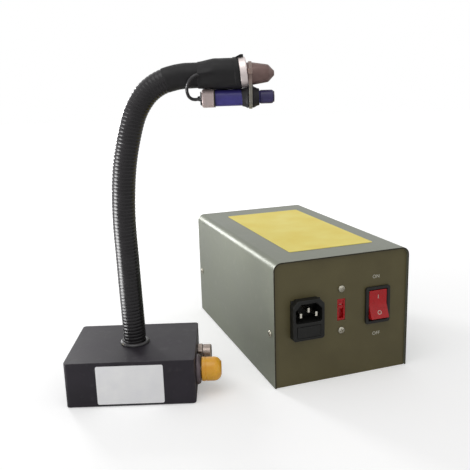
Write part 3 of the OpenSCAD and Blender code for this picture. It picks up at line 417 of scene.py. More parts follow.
def cadCopy(name):
    bm = bmesh.new()
    bm.from_mesh(nodes[name].data)
    bmesh.ops.remove_doubles(bm, verts=bm.verts, dist=clean["cad"] * mm)
    bmesh.ops.dissolve_limit(bm, angle_limit=radians(clean["flat"]), verts=bm.verts, edges=bm.edges)
    bmesh.ops.scale(bm, vec=(1 / mm,) * 3, verts=bm.verts)
    return bm


def localPoints(name, place):
    # a node's points in a turned frame
    back = place.inverted()
    return [back @ (v.co / mm) for v in nodes[name].data.vertices]


def localBox(name, place=Matrix()):
    points = localPoints(name, place)
    low = Vector([min(p[i] for p in points) for i in range(3)])
    high = Vector([max(p[i] for p in points) for i in range(3)])
    return low, high


def leanedSpan(name, place, lean):
    # from where to where a node reaches along its axis, between planes that lean
    heights = [p.z - p.x * lean for p in localPoints(name, place)]
    return min(heights), max(heights)


def newPiece(name, bm, slots, body=None, replaced=(), sharp=35):
    bmesh.ops.dissolve_degenerate(bm, dist=clean["sliver"], edges=bm.edges)
    bmesh.ops.recalc_face_normals(bm, faces=bm.faces)
    for edge in bm.edges:
        edge.smooth = len(edge.link_faces) == 2 and edge.calc_face_angle() < radians(sharp)
    for face in bm.faces:
        face.smooth = True
    bmesh.ops.scale(bm, vec=(mm, mm, mm), verts=bm.verts)
    mesh = meshFrom(bm, name)
    for finish in slots:
        mesh.materials.append(finishes[finish])
    piece = linked(name, mesh)
    if body:
        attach(piece, body)
        even = piece.modifiers.new("even shading", "WEIGHTED_NORMAL")  # flat stays flat beside a rounding
        even.keep_sharp = True
    if replaced:
        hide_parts(*replaced)
    return piece


def carve(bm, cutter):
    # a cut that no single operator makes, by a Boolean on two passing objects
    holders = []
    for shape in (bm, cutter):
        bmesh.ops.recalc_face_normals(shape, faces=shape.faces)
        holders.append(linked("passing", meshFrom(shape)))
    cut = holders[0].modifiers.new("cut", "BOOLEAN")
    cut.operation = "DIFFERENCE"
    cut.solver = "EXACT"
    cut.use_self = True
    cut.object = holders[1]
    bpy.context.view_layer.update()
    ready = holders[0].evaluated_get(bpy.context.evaluated_depsgraph_get()).to_mesh()
    result = bmesh.new()
    result.from_mesh(ready)
    for holder in holders:
        bpy.data.objects.remove(holder)
    return result


def addMesh(bm, other):
    # everything of another bmesh, which is done with then
    mesh = meshFrom(other)
    bm.from_mesh(mesh)
    bpy.data.meshes.remove(mesh)


def tubeFromPoints(points, radius):
    data = bpy.data.curves.new("passing", "CURVE")
    data.dimensions = "3D"
    data.bevel_depth = radius
    data.bevel_resolution = 4
    data.resolution_u = 8
    data.use_fill_caps = True
    spline = data.splines.new("BEZIER")
    spline.bezier_points.add(len(points) - 1)
    for knot, point in zip(spline.bezier_points, points):
        knot.co = point
        knot.handle_left_type = "AUTO"
        knot.handle_right_type = "AUTO"
    return bmeshOf(data)


def bmeshOf(data):
    # a curve or words as a mesh
    holder = linked("passing", data)
    bpy.context.view_layer.update()
    mesh = bpy.data.meshes.new_from_object(holder.evaluated_get(bpy.context.evaluated_depsgraph_get()))
    bpy.data.objects.remove(holder)
    bm = bmesh.new()
    bm.from_mesh(mesh)
    bmesh.ops.remove_doubles(bm, verts=bm.verts, dist=clean["weld"])
    return bm


# nodes whose shape is right and whose edges are rounded: width of the rounding
edgeWidths = {
    "base_housing": 1.1,
    "neck_collar": 0.35,
    "valve_flange": 0.7,
    "air_inlet": 0.4,
    "cable_socket": 0.3,
    "sensor_barrel": 0.35,
    "sensor_nose": 1.5,
    "cable_tie": 0.22,
    "mains_inlet": 0.7,
    "inlet_pins": 0.35,
    "fuse_drawer": 0.5,
    "voltage_selector": 0.25,
    "selector_slider": 0.25,
    "switch_housing": 0.7,
    "switch_rocker": 0.8,
    "output_socket": 0.5,
    "solenoid_valve": 0.6,
    "ballast_weight": 0.8,
    "transformer_core": 0.4,
    "transformer_coil": 1.6,
}
for name, width in edgeWidths.items():
    bm = cadCopy(name)
    soften(bm, width, chosen=lambda e: e.is_convex)  # inner corners stay sharp
    newPiece(name + "_finished", bm, [slotOf[name]], bodyOf[name], [name])
print("rounded nodes:", len(edgeWidths))


# bendable tube: one helical wire wound along the neck's centreline, cut between the bends
neck = {
    "crown": 9.5,  # radius over the ribs
    "groove": 0.3,  # depth between ribs
    "pitch": 2.9,
    "around": 40,
    "spareTurns": 2,  # at either end, cut off again
    "ribPoints": 6,
    "ribShape": 0.8,  # below 1 is fuller than round
    "wall": 0.8,
    "sharp": 60,
    "bendSteps": 40,
    "footSink": 1.0,
    "headSink": 12.0,  # goes on under the boot
    "spigot": {"radius": 8.0, "wall": 2, "length": 9.5, "around": 48},
}
bends = [Vector(joint["pos_m"]) / mm for joint in frame["joints"] if joint["name"].startswith("neck_bend")]
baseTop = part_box("base_housing")[1].z / mm
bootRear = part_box("head_boot")[0].x / mm
foot = Vector((0, 0, baseTop))
hoseEnd = Vector((bootRear, 0, bends[-1].z))
stops = [foot] + bends + [hoseEnd]
seams = [a.lerp(b, 0.5) for a, b in zip(stops, stops[1:])]


def bendPoint(start, bend, end, t):
    return start.lerp(bend, t).lerp(bend.lerp(end, t), t)


line = [foot - upward * neck["footSink"]]
seamAt = []
for start, bend, end in zip(seams, bends, seams[1:]):
    seamAt.append(len(line))
    line += [bendPoint(start, bend, end, i / neck["bendSteps"]) for i in range(neck["bendSteps"])]
seamAt.append(len(line))
line += [seams[-1], hoseEnd + Vector((neck["headSink"], 0, 0))]
lengths = [0]
for a, b in zip(line, line[1:]):
    lengths.append(lengths[-1] + (b - a).length)
lastOne = len(line) - 1
headings = [(line[min(i + 1, lastOne)] - line[max(i - 1, 0)]).normalized() for i in range(len(line))]
sideways = Vector((0, 1, 0))


def layAlong(bm):
    # straight tube on the Z axis to the neck's centreline
    for v in bm.verts:
        i = min(max(bisect_left(lengths, v.co.z), 1), lastOne)
        share = (v.co.z - lengths[i - 1]) / (lengths[i] - lengths[i - 1])
        heading = headings[i - 1].lerp(headings[i], share).normalized()
        point = line[i - 1].lerp(line[i], share)
        v.co = point + sideways.cross(heading) * v.co.x + sideways * v.co.y


def ribbedStretch(begin, finish):
    bm = bmesh.new()
    pitch = neck["pitch"]
    first = floor(begin / pitch) - neck["spareTurns"]
    turns = floor((finish - begin) / pitch) + 2 * neck["spareTurns"] + 1
    outline = []
    for i in range(neck["ribPoints"] + 1):
        t = i / neck["ribPoints"]
        rise = sqrt(max(0, 1 - (2 * t - 1) ** 2)) ** neck["ribShape"]
        outline.append((neck["crown"] - neck["groove"] * (1 - rise), (first + t) * pitch))
    verts = [bm.verts.new((radius, 0, height)) for radius, height in outline]
    edges = [bm.edges.new(pair) for pair in zip(verts, verts[1:])]
    bmesh.ops.spin(bm, geom=verts + edges, cent=(0, 0, 0), axis=(0, 0, 1), dvec=(0, 0, pitch / neck["around"]),
                   angle=2 * pi * turns, steps=neck["around"] * turns)
    bmesh.ops.remove_doubles(bm, verts=bm.verts, dist=clean["coil"])
    for height, lower in ((begin, True), (finish, False)):
        sliced(bm, (0, 0, height), upward, clear_inner=lower, clear_outer=not lower)
    bmesh.ops.recalc_face_normals(bm, faces=bm.faces)
    bmesh.ops.solidify(bm, geom=bm.faces[:], thickness=neck["wall"])
    layAlong(bm)
    return bm


def addBendPiece(kind, k, bm, slots, sharp=35):
    # a piece across a bend, on no body, its place applied to its mesh
    piece = newPiece("%s_bend_%d" % (kind, k + 1), bm, slots, sharp=sharp)
    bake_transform(piece)
    return piece


def addHose():
    cuts = [lengths[i] for i in seamAt]
    footPiece = ribbedStretch(0, cuts[0])
    spigot, sharp = neck["spigot"], neck["sharp"]
    outer, inner, tall = spigot["radius"], spigot["radius"] - spigot["wall"], spigot["length"]
    turned(footPiece, [(inner, 0), (outer, 0), (outer, tall), (inner, tall)],
           Matrix.Translation((0, 0, baseTop - tall)), spigot["around"], True)
    newPiece("hose_foot", footPiece, ["neck_black"], "base", ["gooseneck_foot"], sharp)
    for k in range(len(bends)):
        piece = addBendPiece("hose", k, ribbedStretch(cuts[k], cuts[k + 1]), ["neck_black"], sharp)
        if k + 1 < len(bends):
            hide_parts("gooseneck_link_%d" % (k + 1))
    newPiece("hose_end", ribbedStretch(cuts[-1], lengths[-1]), ["neck_black"], "head", ["gooseneck_end"], sharp)
    print("hose pieces:", len(bends) + 2)


# air tube and leads inside the hose, cut at the same seams as the hose
innerLines = ["air_tube", "high_voltage_lead", "signal_lead"]


def innerStretch(lower, upper):
    bm = bmesh.new()
    for i, name in enumerate(innerLines):
        single = cadCopy(name)
        for k, below in ((lower, True), (upper, False)):
            if k is None:
                continue
            heading = (stops[k + 1] - stops[k]).normalized()
            sliced(single, seams[k], heading, clear_inner=below, clear_outer=not below)
            rim = [e for e in single.edges if e.is_boundary]
            bmesh.ops.holes_fill(single, edges=rim)
        for face in single.faces:
            face.material_index = i
        addMesh(bm, single)
    return bm


def addInnerLines():
    slots = [slotOf[name] for name in innerLines]
    newPiece("lines_foot", innerStretch(None, 0), slots, "base", innerLines)
    for k in range(len(bends)):
        addBendPiece("lines", k, innerStretch(k, k + 1), slots)
    newPiece("lines_end", innerStretch(len(bends), None), slots, "head")
    print("inner lines are cut at", len(seams), "seams")


# smooth sleeve shrunk over the end of the hose, from the bend before the last into the boot
sleeve = {
    "radius": 9.75,
    "wall": 0.2,
    "step": 0.8,
    "edge": 0.15,
    "firstBend": 8,
    "around": 72,
    "wrinkle": 0.12,
    "fold": (0.35, 0.2),  # how often it folds, around and along
    "sharp": 50,
}


def wrinkled(flat, at, skin):
    around, along = skin["fold"]
    return skin["wrinkle"] * noise.noise(Vector((flat.x * around, flat.y * around, at * along)))


def sleeveStretch(begin, finish, edge):
    outer, inner = sleeve["radius"], sleeve["radius"] - sleeve["wall"]
    count = max(2, int((finish - begin) / sleeve["step"]))
    heights = [begin + (finish - begin) * i / count for i in range(count + 1)]
    outline = [(inner, begin), (outer - edge, begin)] + [(outer, height) for height in heights[1:]]
    outline += [(inner, height) for height in reversed(heights[1:])]
    bm = bmesh.new()
    turned(bm, outline, Matrix(), sleeve["around"], True)
    for v in bm.verts:
        flat = v.co.xy
        if flat.length > outer - sleeve["wall"] / 2:
            v.co.xy = flat * (1 + wrinkled(flat, v.co.z, sleeve) / flat.length)
    layAlong(bm)
    return bm


def addSleeve():
    first, sharp = sleeve["firstBend"], sleeve["sharp"]
    cuts = [lengths[i] for i in seamAt]
    begin = lengths[seamAt[first] + neck["bendSteps"] // 2]
    for k in range(first, len(bends)):
        edge = sleeve["edge"] if k == first else 0
        addBendPiece("sleeve", k, sleeveStretch(begin, cuts[k + 1], edge), ["boot_black"], sharp)
        begin = cuts[k + 1]
    newPiece("sleeve_end", sleeveStretch(begin, lengths[-1], 0), ["boot_black"], "head", sharp=sharp)


addHose()
addSleeve()
addInnerLines()


# set screw in the collar at the neck's foot
setScrew = {"radius": 1.0, "proud": 0.35, "socket": 0.5, "depth": 0.6, "chamfer": 0.2, "angle": 222, "height": 1.1,
            "around": 24}


def addSetScrew():
    bm = bmesh.new()
    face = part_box("neck_collar")[1].x / mm
    front, bottom = face + setScrew["proud"], face - setScrew["depth"]
    r, key, chamfer = setScrew["radius"], setScrew["socket"], setScrew["chamfer"]
    place = Matrix.Translation((0, 0, baseTop + setScrew["height"]))
    place @= spun(setScrew["angle"], "Z") @ spun(90, "Y")
    turned(bm, [(0, bottom), (key, bottom), (key, front), (r - chamfer, front), (r, front - chamfer), (r, face - r),
                (0, face - r)], place, setScrew["around"])
    newPiece("collar_set_screw", bm, ["screw_steel"], "base")


# knob of the air-flow valve, with a skirt, a domed end and a moulded index line
knob = {
    "skirt": 3.4,
    "groove": 0.35,
    "chamfer": 0.6,
    "endRound": 6.2,
    "endArc": (0, 80, 8),  # from and to in degrees, steps
    "dish": 0.4,
    "index": (5.2, 0.9, 0.3),
    "indexAt": -0.45,  # to the radius
    "indexRound": 0.12,
    "around": 72,
}


def addKnob():
    low, high = (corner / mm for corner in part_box("flow_knob"))
    radius, tall = (high.y - low.y) / 2, high.x - low.x
    skirt, groove, chamfer, bend = knob["skirt"], knob["groove"], knob["chamfer"], knob["endRound"]
    axis = Matrix.Translation((low.x, (low.y + high.y) / 2, (low.z + high.z) / 2))
    axis @= spun(90, "Y")
    bm = bmesh.new()
    outline = [(0, 0), (radius - chamfer, 0), (radius, chamfer), (radius, skirt - groove), (radius - groove, skirt),
               (radius - groove, skirt + groove), (radius - groove / 3, skirt + 2 * groove)]
    outline += arc((radius - bend - groove / 3, tall - bend), bend, *knob["endArc"])
    outline += [(radius / 2, tall - knob["dish"] / 2), (0, tall - knob["dish"])]
    turned(bm, outline, axis, knob["around"])
    markPlace = axis @ Matrix.Translation((radius * knob["indexAt"], 0, tall - knob["dish"] / 2))
    mark = boxed(bm, knob["index"], markPlace)
    bmesh.ops.bevel(bm, geom=list({e for v in mark for e in v.link_edges}), offset=knob["indexRound"], segments=2,
                    profile=0.5, affect="EDGES", material=-1)
    newPiece("flow_knob_cap", bm, ["knob_yellow"], "flow_knob", ["flow_knob"], sharp=40)


# clamp nut of the air inlet, knurled round its outside
clampNut = {"knurls": 36, "depth": 0.4, "chamfer": 0.5, "lip": 0.8, "sink": 1, "flank": 0.05}


def addClampNut():
    bm = cadCopy("air_inlet_nut")
    low, high = localBox("air_inlet_nut")
    middle = (low + high) / 2
    place = Matrix.Translation((low.x, middle.y, middle.z)) @ spun(90, "Y")
    moved(bm, place.inverted())
    radius, tall = (high.z - low.z) / 2, high.x - low.x
    chamfer, lip, flank = clampNut["chamfer"], clampNut["lip"], clampNut["flank"]
    inner, edge, crest = radius - clampNut["sink"], radius - flank, radius + flank
    soften(bm, chamfer, segments=2)
    made = turned(bm, [(inner, chamfer), (edge, chamfer), (crest, 2 * chamfer), (crest, tall - 2 * lip),
                       (edge, tall - lip), (inner, tall - lip)], Matrix(), 2 * clampNut["knurls"], True)
    for v in made:  # every second column goes in
        column = round(atan2(v.co.y, v.co.x) / pi * clampNut["knurls"])
        if column % 2 and v.co.xy.length > radius - 2 * flank:
            v.co.xy *= 1 - clampNut["depth"] / radius
    moved(bm, place)
    newPiece("air_inlet_clamp", bm, ["fitting_nickel"], "base", ["air_inlet_nut"], sharp=25)


# coupling thread on the barrel of the cable socket
socketThread = {"pitch": 1.0, "height": 0.25, "start": 0.5, "margin": 2.0, "sink": 0.3, "around": 48}


def addSocketThread():
    mount = next(m for m in frame["record"]["mounts"] if m["name"] == "cable_socket")
    radius, tall = mount["dims"]["r_mm"], mount["dims"]["length_mm"]
    rear = localBox("cable_socket")[1].y
    place = Matrix.Translation((mount["pos_m"][0] / mm, rear - tall, mount["pos_m"][2] / mm))
    place @= spun(-90, "X")
    at, pitch, inner = socketThread["start"], socketThread["pitch"], radius - socketThread["sink"]
    outline = [(inner, at)]
    for i in range(int((tall - socketThread["margin"]) / pitch)):
        outline += [(radius, at), (radius + socketThread["height"], at + pitch / 2)]
        at += pitch
    outline += [(radius, at), (inner, at)]
    bm = bmesh.new()
    turned(bm, outline, place, socketThread["around"], True)
    newPiece("cable_socket_thread", bm, ["socket_black"], "base")


addSetScrew()
addKnob()
addClampNut()
addSocketThread()
print("base fittings are dressed")


# head: its axis runs on from the last bend, and the local X axis points down
headPlace = Matrix.Translation(bends[-1]) @ spun(90, "Y")
barrelLow, barrelHigh = localBox("sensor_barrel", headPlace)
sensorPlace = headPlace @ Matrix.Translation(((barrelLow.x + barrelHigh.x) / 2, 0, 0))


def eased(value):
    value = min(max(value, 0), 1)
    return value * value * (3 - 2 * value)


# shrink boot: thin at the rear, raised where the sensor's lead goes in, its front end cut along the ring
boot = {
    "bore": 9.8,
    "skin": 0.05,  # what is further out than that from the bore is the outside
    "rear": 10.25,
    "rearEdge": (0.2, 0.3),
    "middle": 11.5,
    "lip": 11.6,
    "lipEdge": 0.3,
    "lift": 1.0,  # its front part lies this far above the hose's axis
    "sag": [(0.25, 2, 4), (0.72, 10.5, 3)],  # drawn down on the sensor: height, where, over what length
    "sagNarrow": 4,
    "taper": 14,
    "lipLength": 3,
    "tilt": 6,
    "tiltFrom": 8,
    "around": 96,
    "wrinkle": 0.14,
    "fold": (0.3, 0.16),
    "swell": {"height": 2.2, "wide": 2.0, "full": 4, "fade": 15, "toward": (-1, -10.6)},
}
ring = {"back": 0.2, "gap": 0.05, "rear": 0.35, "front": 1.5}  # its rear goes back to the boot's cut end
bootLean = tan(radians(boot["tilt"]))
ringRear, ringFront = leanedSpan("nozzle_collar", headPlace, bootLean)
bootStart = localBox("head_boot", headPlace)[0].z
bootEnd = ringRear - ring["back"] - ring["gap"]


def bootLift(at):
    return boot["lift"] * eased((at - bootStart) / boot["taper"])


def addBoot():
    start, end, bore, rear, middle, lip = bootStart, bootEnd, boot["bore"], boot["rear"], boot["middle"], boot["lip"]
    edge, (inset, rise) = boot["lipEdge"], boot["rearEdge"]
    outline = [(bore, start), (rear - inset, start), (rear, start + rise)]
    for at in (start + i for i in range(1, int(end - start))):
        radius = rear + (middle - rear) * eased((at - start) / boot["taper"])
        radius += (lip - middle) * eased((at - end + boot["lipLength"]) / boot["lipLength"])
        outline.append((radius, at))
    outline += [(lip, end - edge), (lip - edge, end), (bore, end)]
    bm = bmesh.new()
    turned(bm, outline, Matrix(), boot["around"], True)
    swell = boot["swell"]
    toward = Vector(swell["toward"]).normalized()
    for v in bm.verts:
        at, flat = v.co.z, v.co.xy
        if flat.length > bore + boot["skin"]:
            offset = flat.x * toward.y - flat.y * toward.x
            ahead = 1 if flat.dot(toward) > 0 else 0
            fading = 1 - eased((at - start - swell["full"]) / (swell["fade"] - swell["full"]))
            lift = swell["height"] * exp(-(offset / swell["wide"]) ** 2) * fading * ahead
            under = max(0, flat.x / flat.length) ** boot["sagNarrow"]
            for height, where, length in boot["sag"]:
                lift += under * height * eased((at - start - where) / length)
            lift += wrinkled(flat, at, boot)
            v.co.xy = flat * (1 + lift / flat.length)
            v.co.x -= bootLift(at)
        v.co.z += eased((at - end + boot["tiltFrom"]) / boot["tiltFrom"]) * v.co.x * bootLean
    moved(bm, headPlace)
    newPiece("boot_sleeve", bm, ["boot_black"], "head", ["head_boot"], sharp=50)


# ring between boot and nozzle
def addRing():
    bm = cadCopy("nozzle_collar")
    moved(bm, headPlace.inverted())
    middle = (ringRear + ringFront) / 2
    for v in bm.verts:
        if v.co.z < middle + v.co.x * bootLean:
            v.co.z -= ring["back"]
    soften(bm, ring["front"], segments=4, chosen=lambda e: all(v.co.z > middle + v.co.x * bootLean for v in e.verts))
    soften(bm, ring["rear"], minAngle=60)
    moved(bm, headPlace)
    newPiece("nozzle_collar_finished", bm, ["ring_silver"], "head", ["nozzle_collar"])


# band that holds the boot, its strap rising into the locking head that lies over the ring's rear edge
bootBand = {
    "thick": 0.5,
    "width": 3.2,
    "fromEnd": 2.6,
    "sink": 0.1,
    "around": 72,
    "lockWide": 6.4,
    "lock": [(11.9, 38.5), (13.2, 42.0), (14.9, 45.4), (14.9, 47.7), (12.6, 47.7), (12.6, 43.6), (11.9, 43.1)],
    "round": 0.5,
    "slot": (0.8, 3.6, 4.0),
    "slotHeight": 13.9,
}


def addBootBand():
    middle = bootEnd - bootBand["fromEnd"]
    inner, outer = boot["middle"] - bootBand["sink"], boot["middle"] + bootBand["thick"]
    half = bootBand["width"] / 2
    edge = bootBand["thick"] / 3
    bm = bmesh.new()
    band = turned(bm, [(inner, -half), (outer - edge, -half), (outer, edge - half), (outer, half - edge),
                       (outer - edge, half), (inner, half)], Matrix(), bootBand["around"], True)
    for v in band:
        v.co.x -= boot["lift"]
        v.co.z += middle + v.co.x * bootLean
    lock = bmesh.new()
    wide = bootBand["lockWide"]
    side = lock.faces.new([lock.verts.new((-height, -wide / 2, at)) for height, at in bootBand["lock"]])
    grown = bmesh.ops.extrude_face_region(lock, geom=[side])["geom"]
    bmesh.ops.translate(lock, vec=(0, wide, 0), verts=[g for g in grown if isinstance(g, bmesh.types.BMVert)])
    bmesh.ops.recalc_face_normals(lock, faces=lock.faces)
    soften(lock, bootBand["round"], minAngle=15)
    slot = bmesh.new()
    lockFront = max(at for height, at in bootBand["lock"])
    boxed(slot, bootBand["slot"], Matrix.Translation((-bootBand["slotHeight"], 0, lockFront)))
    addMesh(bm, carve(lock, slot))
    moved(bm, headPlace)
    newPiece("boot_band", bm, ["boot_black"], "head")


# nozzle, well rounded at its shoulder and finely at its mouth
nozzleTip = {"shoulder": 2.4, "from": 66.4, "beyond": 3.0, "mouth": 0.14}


def addNozzle():
    bm = cadCopy("nozzle")
    moved(bm, headPlace.inverted())
    begin, beyond = nozzleTip["from"], nozzleTip["beyond"]
    soften(bm, nozzleTip["shoulder"], segments=6, minAngle=20,
           chosen=lambda e: all(v.co.z > begin and v.co.xy.length > beyond for v in e.verts))
    soften(bm, nozzleTip["mouth"], segments=2, minAngle=40)
    moved(bm, headPlace)
    newPiece("nozzle_finished", bm, [slotOf["nozzle"]], "head", ["nozzle"])


# lead of the sensor: out of the rear cap, round the hose and in under the boot
lead = {
    "radius": 1.3,
    "route": [(17, 0, -17.8), (12.5, 0, -18), (8.5, -0.6, -18.3), (5.4, -2.8, -16.8), (3.8, -6.2, -13.6),
              (3.6, -9.4, -9.4), (4.8, -11.6, -5.6), (7.2, -12.4, -2.4), (10, -12, -0.4), (13, -11, 0.6),
              (16, -10.6, 1)],
    "relief": {"rear": 1.75, "front": 2.6, "length": 3.4, "grip": 0.2, "around": 32},
    "gland": {"radius": 5.4, "depth": 1.3, "edge": 0.4, "sink": 0.3, "around": 40},
}


def addLead():
    bm = tubeFromPoints([bends[-1] + Vector(point) for point in lead["route"]], lead["radius"])
    capRear = localBox("sensor_rear_cap", sensorPlace)[0].z
    relief, gland = lead["relief"], lead["gland"]
    grip, rear, start = relief["grip"], relief["rear"], capRear - relief["length"]
    inner = lead["radius"] - grip
    turned(bm, [(inner, start), (rear - grip, start), (rear, start + grip), (relief["front"], capRear + grip),
                (inner, capRear + grip)], sensorPlace, relief["around"], True)
    wide, edge, start, end = gland["radius"], gland["edge"], capRear - gland["depth"], capRear + gland["sink"]
    turned(bm, [(0, start), (wide - edge, start), (wide, start + edge), (wide, end), (0, end)], sensorPlace,
           gland["around"])
    newPiece("sensor_lead_finished", bm, ["lead_black"], "head", ["sensor_lead"], sharp=50)


# rear cap of the sensor, grooved, with a dark seal between it and the barrel
rearCap = {
    "rim": 1.4,
    "rimArc": (-80, 0, 6),
    "grooves": (0.42, 0.58, 0.74),  # where, to its length
    "groove": 0.15,
    "grooveHalf": 0.45,
    "edge": 0.3,
    "seal": (0.9, 0.12),
    "around": 56,
}


def addRearCap():
    low, high = localBox("sensor_rear_cap", sensorPlace)
    radius, start, end = high.x, low.z, high.z
    rim, half, edge = rearCap["rim"], rearCap["grooveHalf"], rearCap["edge"]
    wide, rise = rearCap["seal"]
    front = end - wide
    outline = [(0, start), (radius - rim, start)] + arc((radius - rim, start + rim), rim, *rearCap["rimArc"])
    for share in rearCap["grooves"]:
        at = start + (end - start) * share
        outline += [(radius, at - half), (radius - rearCap["groove"], at), (radius, at + half)]
    outline += [(radius, front - edge), (radius - edge, front), (0, front)]
    bm = bmesh.new()
    turned(bm, outline, sensorPlace, rearCap["around"])
    count = len(bm.faces)
    turned(bm, [(0, front), (radius - rise, front), (radius, end - wide / 2), (radius - rise, end), (0, end)],
           sensorPlace, rearCap["around"])
    for i, face in enumerate(bm.faces):
        face.material_index = 0 if i < count else 1
    newPiece("sensor_rear_cap_finished", bm, ["cap_clear", "saddle_black"], "head", ["sensor_rear_cap"], sharp=40)


# rubber saddle round the sensor, drawn in towards its ends
saddle = {
    "round": 0.5,
    "flat": 2.4,
    "ends": 0.3,
    "clear": 0.2,
    "cuts": 10,
    "back": 0.9,  # reaches back to the boot's end
    "backFrom": 0.1,
    "slope": ((54.6, 8.5), (58.4, 6.6)),  # down to the nose: where and how wide, twice
}


def addSaddle():
    bm = cadCopy("sensor_saddle")
    low, high = localBox("sensor_saddle", sensorPlace)
    moved(bm, sensorPlace.inverted())
    for i in range(1, saddle["cuts"]):
        at = low.z + (high.z - low.z) * i / saddle["cuts"]
        sliced(bm, (0, 0, at), upward)
    inner = barrelHigh.y + saddle["clear"]
    middle, half = (low.z + high.z) / 2, (high.z - low.z) / 2
    (begin, wide), (finish, narrow) = saddle["slope"]
    for v in bm.verts:
        flat = v.co.xy
        if flat.length > inner:
            along = max(0, abs(v.co.z - middle) - saddle["flat"]) / (half - saddle["flat"])
            under = eased(0.5 + flat.x / flat.length)
            v.co.xy = flat * (1 - (1 - inner / flat.length) * saddle["ends"] * along * under)
        if v.co.z < low.z + saddle["backFrom"] and flat.x < 0:
            v.co.z -= saddle["back"] * -flat.x / flat.length
        if v.co.z > begin:
            most = wide + (narrow - wide) * min(1, (v.co.z - begin) / (finish - begin))
            v.co.xy *= min(1, most / v.co.xy.length)
    soften(bm, saddle["round"], minAngle=50)
    moved(bm, sensorPlace)
    newPiece("sensor_saddle_finished", bm, ["saddle_black"], "head", ["sensor_saddle"], sharp=40)


addBoot()
addRing()
addBootBand()
addNozzle()
addLead()
addRearCap()
addSaddle()
print("head is dressed")


# power unit: its front's lower left corner, X across the front, Y into the depth
across = Vector(joints["power_rocker"]["axis"]).normalized()
inward = upward.cross(across)
coverPoints = [v.co / mm for v in nodes["unit_cover"].data.vertices]
corner = across * min(p.dot(across) for p in coverPoints) + inward * min(p.dot(inward) for p in coverPoints)
unitPlace = Matrix.Translation(corner) @ Matrix((across, inward, upward)).transposed().to_4x4()
panelFace = localBox("unit_front_panel", unitPlace)[0].y


def onPanel(u, z):
    return unitPlace @ Matrix.Translation((u, panelFace, z)) @ spun(90, "X")


def panelMiddle(name):
    low, high = localBox(name, unitPlace)
    return (low.x + high.x) / 2, (low.z + high.z) / 2


# cover of bent sheet: its front edge faces get a dark finish, painted shadow for the gap round the front panel
cover = {"round": 0.3, "edgeDepth": 0.5, "facing": -0.5}


def addCover():
    bm = cadCopy("unit_cover")
    soften(bm, cover["round"])
    front = corner.dot(inward)
    for face in bm.faces:
        depth = face.calc_center_median().dot(inward) - front
        cut = face.normal.dot(inward) < cover["facing"] and depth < cover["edgeDepth"]
        face.material_index = 1 if cut else 0
    newPiece("unit_cover_finished", bm, ["case_olive", "painted_shadow_edge"], "power_unit", ["unit_cover"])


# pan-head screws with a cross recess
screws = {
    "crossWide": 0.55,
    "crossLong": 0.62,
    "crossDeep": 0.6,
    "crossTurn": 20,
    "rim": 0.25,  # height of the straight rim, to the head's
    "domeSteps": 6,
    "around": 36,
    "nextTurn": 0.7,  # each is driven in to another angle
}


def screwTemplate(radius, height, shankRadius, shankLength):
    bm = bmesh.new()
    rim = screws["rim"]
    outline = [(0, -shankLength), (shankRadius, -shankLength), (shankRadius, 0), (radius, 0), (radius, height * rim)]
    for i in range(1, screws["domeSteps"]):
        turn = pi / 2 * i / screws["domeSteps"]
        outline.append((radius * cos(turn), height * (rim + (1 - rim) * sin(turn))))
    turned(bm, outline + [(0, height)], Matrix(), screws["around"])
    cross = bmesh.new()
    arm = (2 * radius * screws["crossLong"], screws["crossWide"] * radius / 2, 2 * height * screws["crossDeep"])
    for turn in (0, 90):
        boxed(cross, arm, spun(turn + screws["crossTurn"], "Z") @ Matrix.Translation((0, 0, height)))
    return carve(bm, cross)


def addScrews(node, places, radius, height, shankRadius, shankLength):
    bm = bmesh.new()
    for i, place in enumerate(places):
        screw = screwTemplate(radius, height, shankRadius, shankLength)
        moved(screw, place @ Matrix.Rotation(screws["nextTurn"] * i, 4, "Z"))
        addMesh(bm, screw)
    newPiece(node + "_finished", bm, [slotOf[node]], bodyOf[node], [node], sharp=40)


selectorScrew = {"radius": 3.1, "height": 1.8, "shank": (1.4, 6)}
coverScrew = {"radius": 2.8, "height": 1.6, "shank": (1.3, 5)}


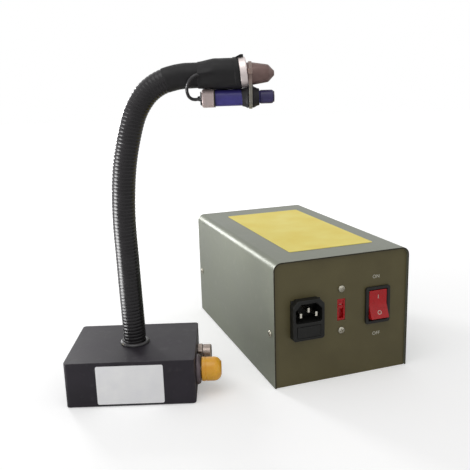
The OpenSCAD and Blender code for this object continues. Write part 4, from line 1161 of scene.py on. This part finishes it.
def addUnitScrews():
    low, high = localBox("selector_screws", unitPlace)
    r = selectorScrew["radius"]
    seat = Matrix.Translation(inward * (low.y + selectorScrew["height"] - panelFace))
    places = [seat @ onPanel((low.x + high.x) / 2, z) for z in (low.z + r, high.z - r)]
    addScrews("selector_screws", places, r, selectorScrew["height"], *selectorScrew["shank"])
    low, high = localBox("cover_screws", unitPlace)
    r, tall = coverScrew["radius"], coverScrew["height"]
    places = []
    for v in (low.y + r, high.y - r):
        for u, turn in ((low.x + tall, -90), (high.x - tall, 90)):
            seat = unitPlace @ Matrix.Translation((u, v, (low.z + high.z) / 2))
            places.append(seat @ spun(turn, "Y"))
    addScrews("cover_screws", places, r, tall, *coverScrew["shank"])


# pale print on the panel and marks on the rocker and slider
marks = {
    "thick": 0.05,
    "panel": [("mark_on", "ON", 3.0, 95.8, 86.6), ("mark_off", "OFF", 3.0, 96.8, 34.6)],
    "rocker": [("rocker_mark_upper", "I", 3.6, 0.26), ("rocker_mark_lower", "O", 3.6, -0.26)],
    "slider": ("slider_mark", "230", 1.9),
    "capShare": 0.7,  # height of a capital to the font's size
    "rayFrom": -40,  # in front of the panel
}


def printed(name, words, tall, place, body):
    data = bpy.data.curves.new("passing", "FONT")
    data.body = words
    data.size = tall / marks["capShare"]
    data.align_x = "CENTER"
    data.align_y = "CENTER"
    data.extrude = marks["thick"]
    data.resolution_u = 4
    bm = bmeshOf(data)
    moved(bm, place)
    newPiece(name, bm, ["print_pale"], body)


def onSurface(name, u, z):
    # where a line into the panel meets a piece, turned to its slope
    data = bpy.data.objects[name].data
    tree = BVHTree.FromPolygons([v.co / mm for v in data.vertices], [p.vertices for p in data.polygons])
    start = unitPlace @ Vector((u, marks["rayFrom"], z))
    point, normal = tree.ray_cast(start, inward)[:2]
    outward = normal if normal.dot(inward) < 0 else -normal
    rise = outward.cross(across).normalized()
    turn = Matrix((across, rise, outward)).transposed().to_4x4()
    return Matrix.Translation(point) @ turn


def addMarks():
    for name, words, tall, u, z in marks["panel"]:
        printed(name, words, tall, onPanel(u, z), "power_unit")
    u, z = panelMiddle("switch_rocker")
    low, high = localBox("switch_rocker", unitPlace)
    for name, words, tall, share in marks["rocker"]:
        place = onSurface("switch_rocker_finished", u, z + share * (high.z - low.z))
        printed(name, words, tall, place, "switch_rocker")
    name, words, tall = marks["slider"]
    u, z = panelMiddle("selector_slider")
    place = onSurface("selector_slider_finished", u, z) @ spun(90, "Z")
    printed(name, words, tall, place, "selector_slider")


addCover()
addUnitScrews()
addMarks()
print("power unit is dressed")
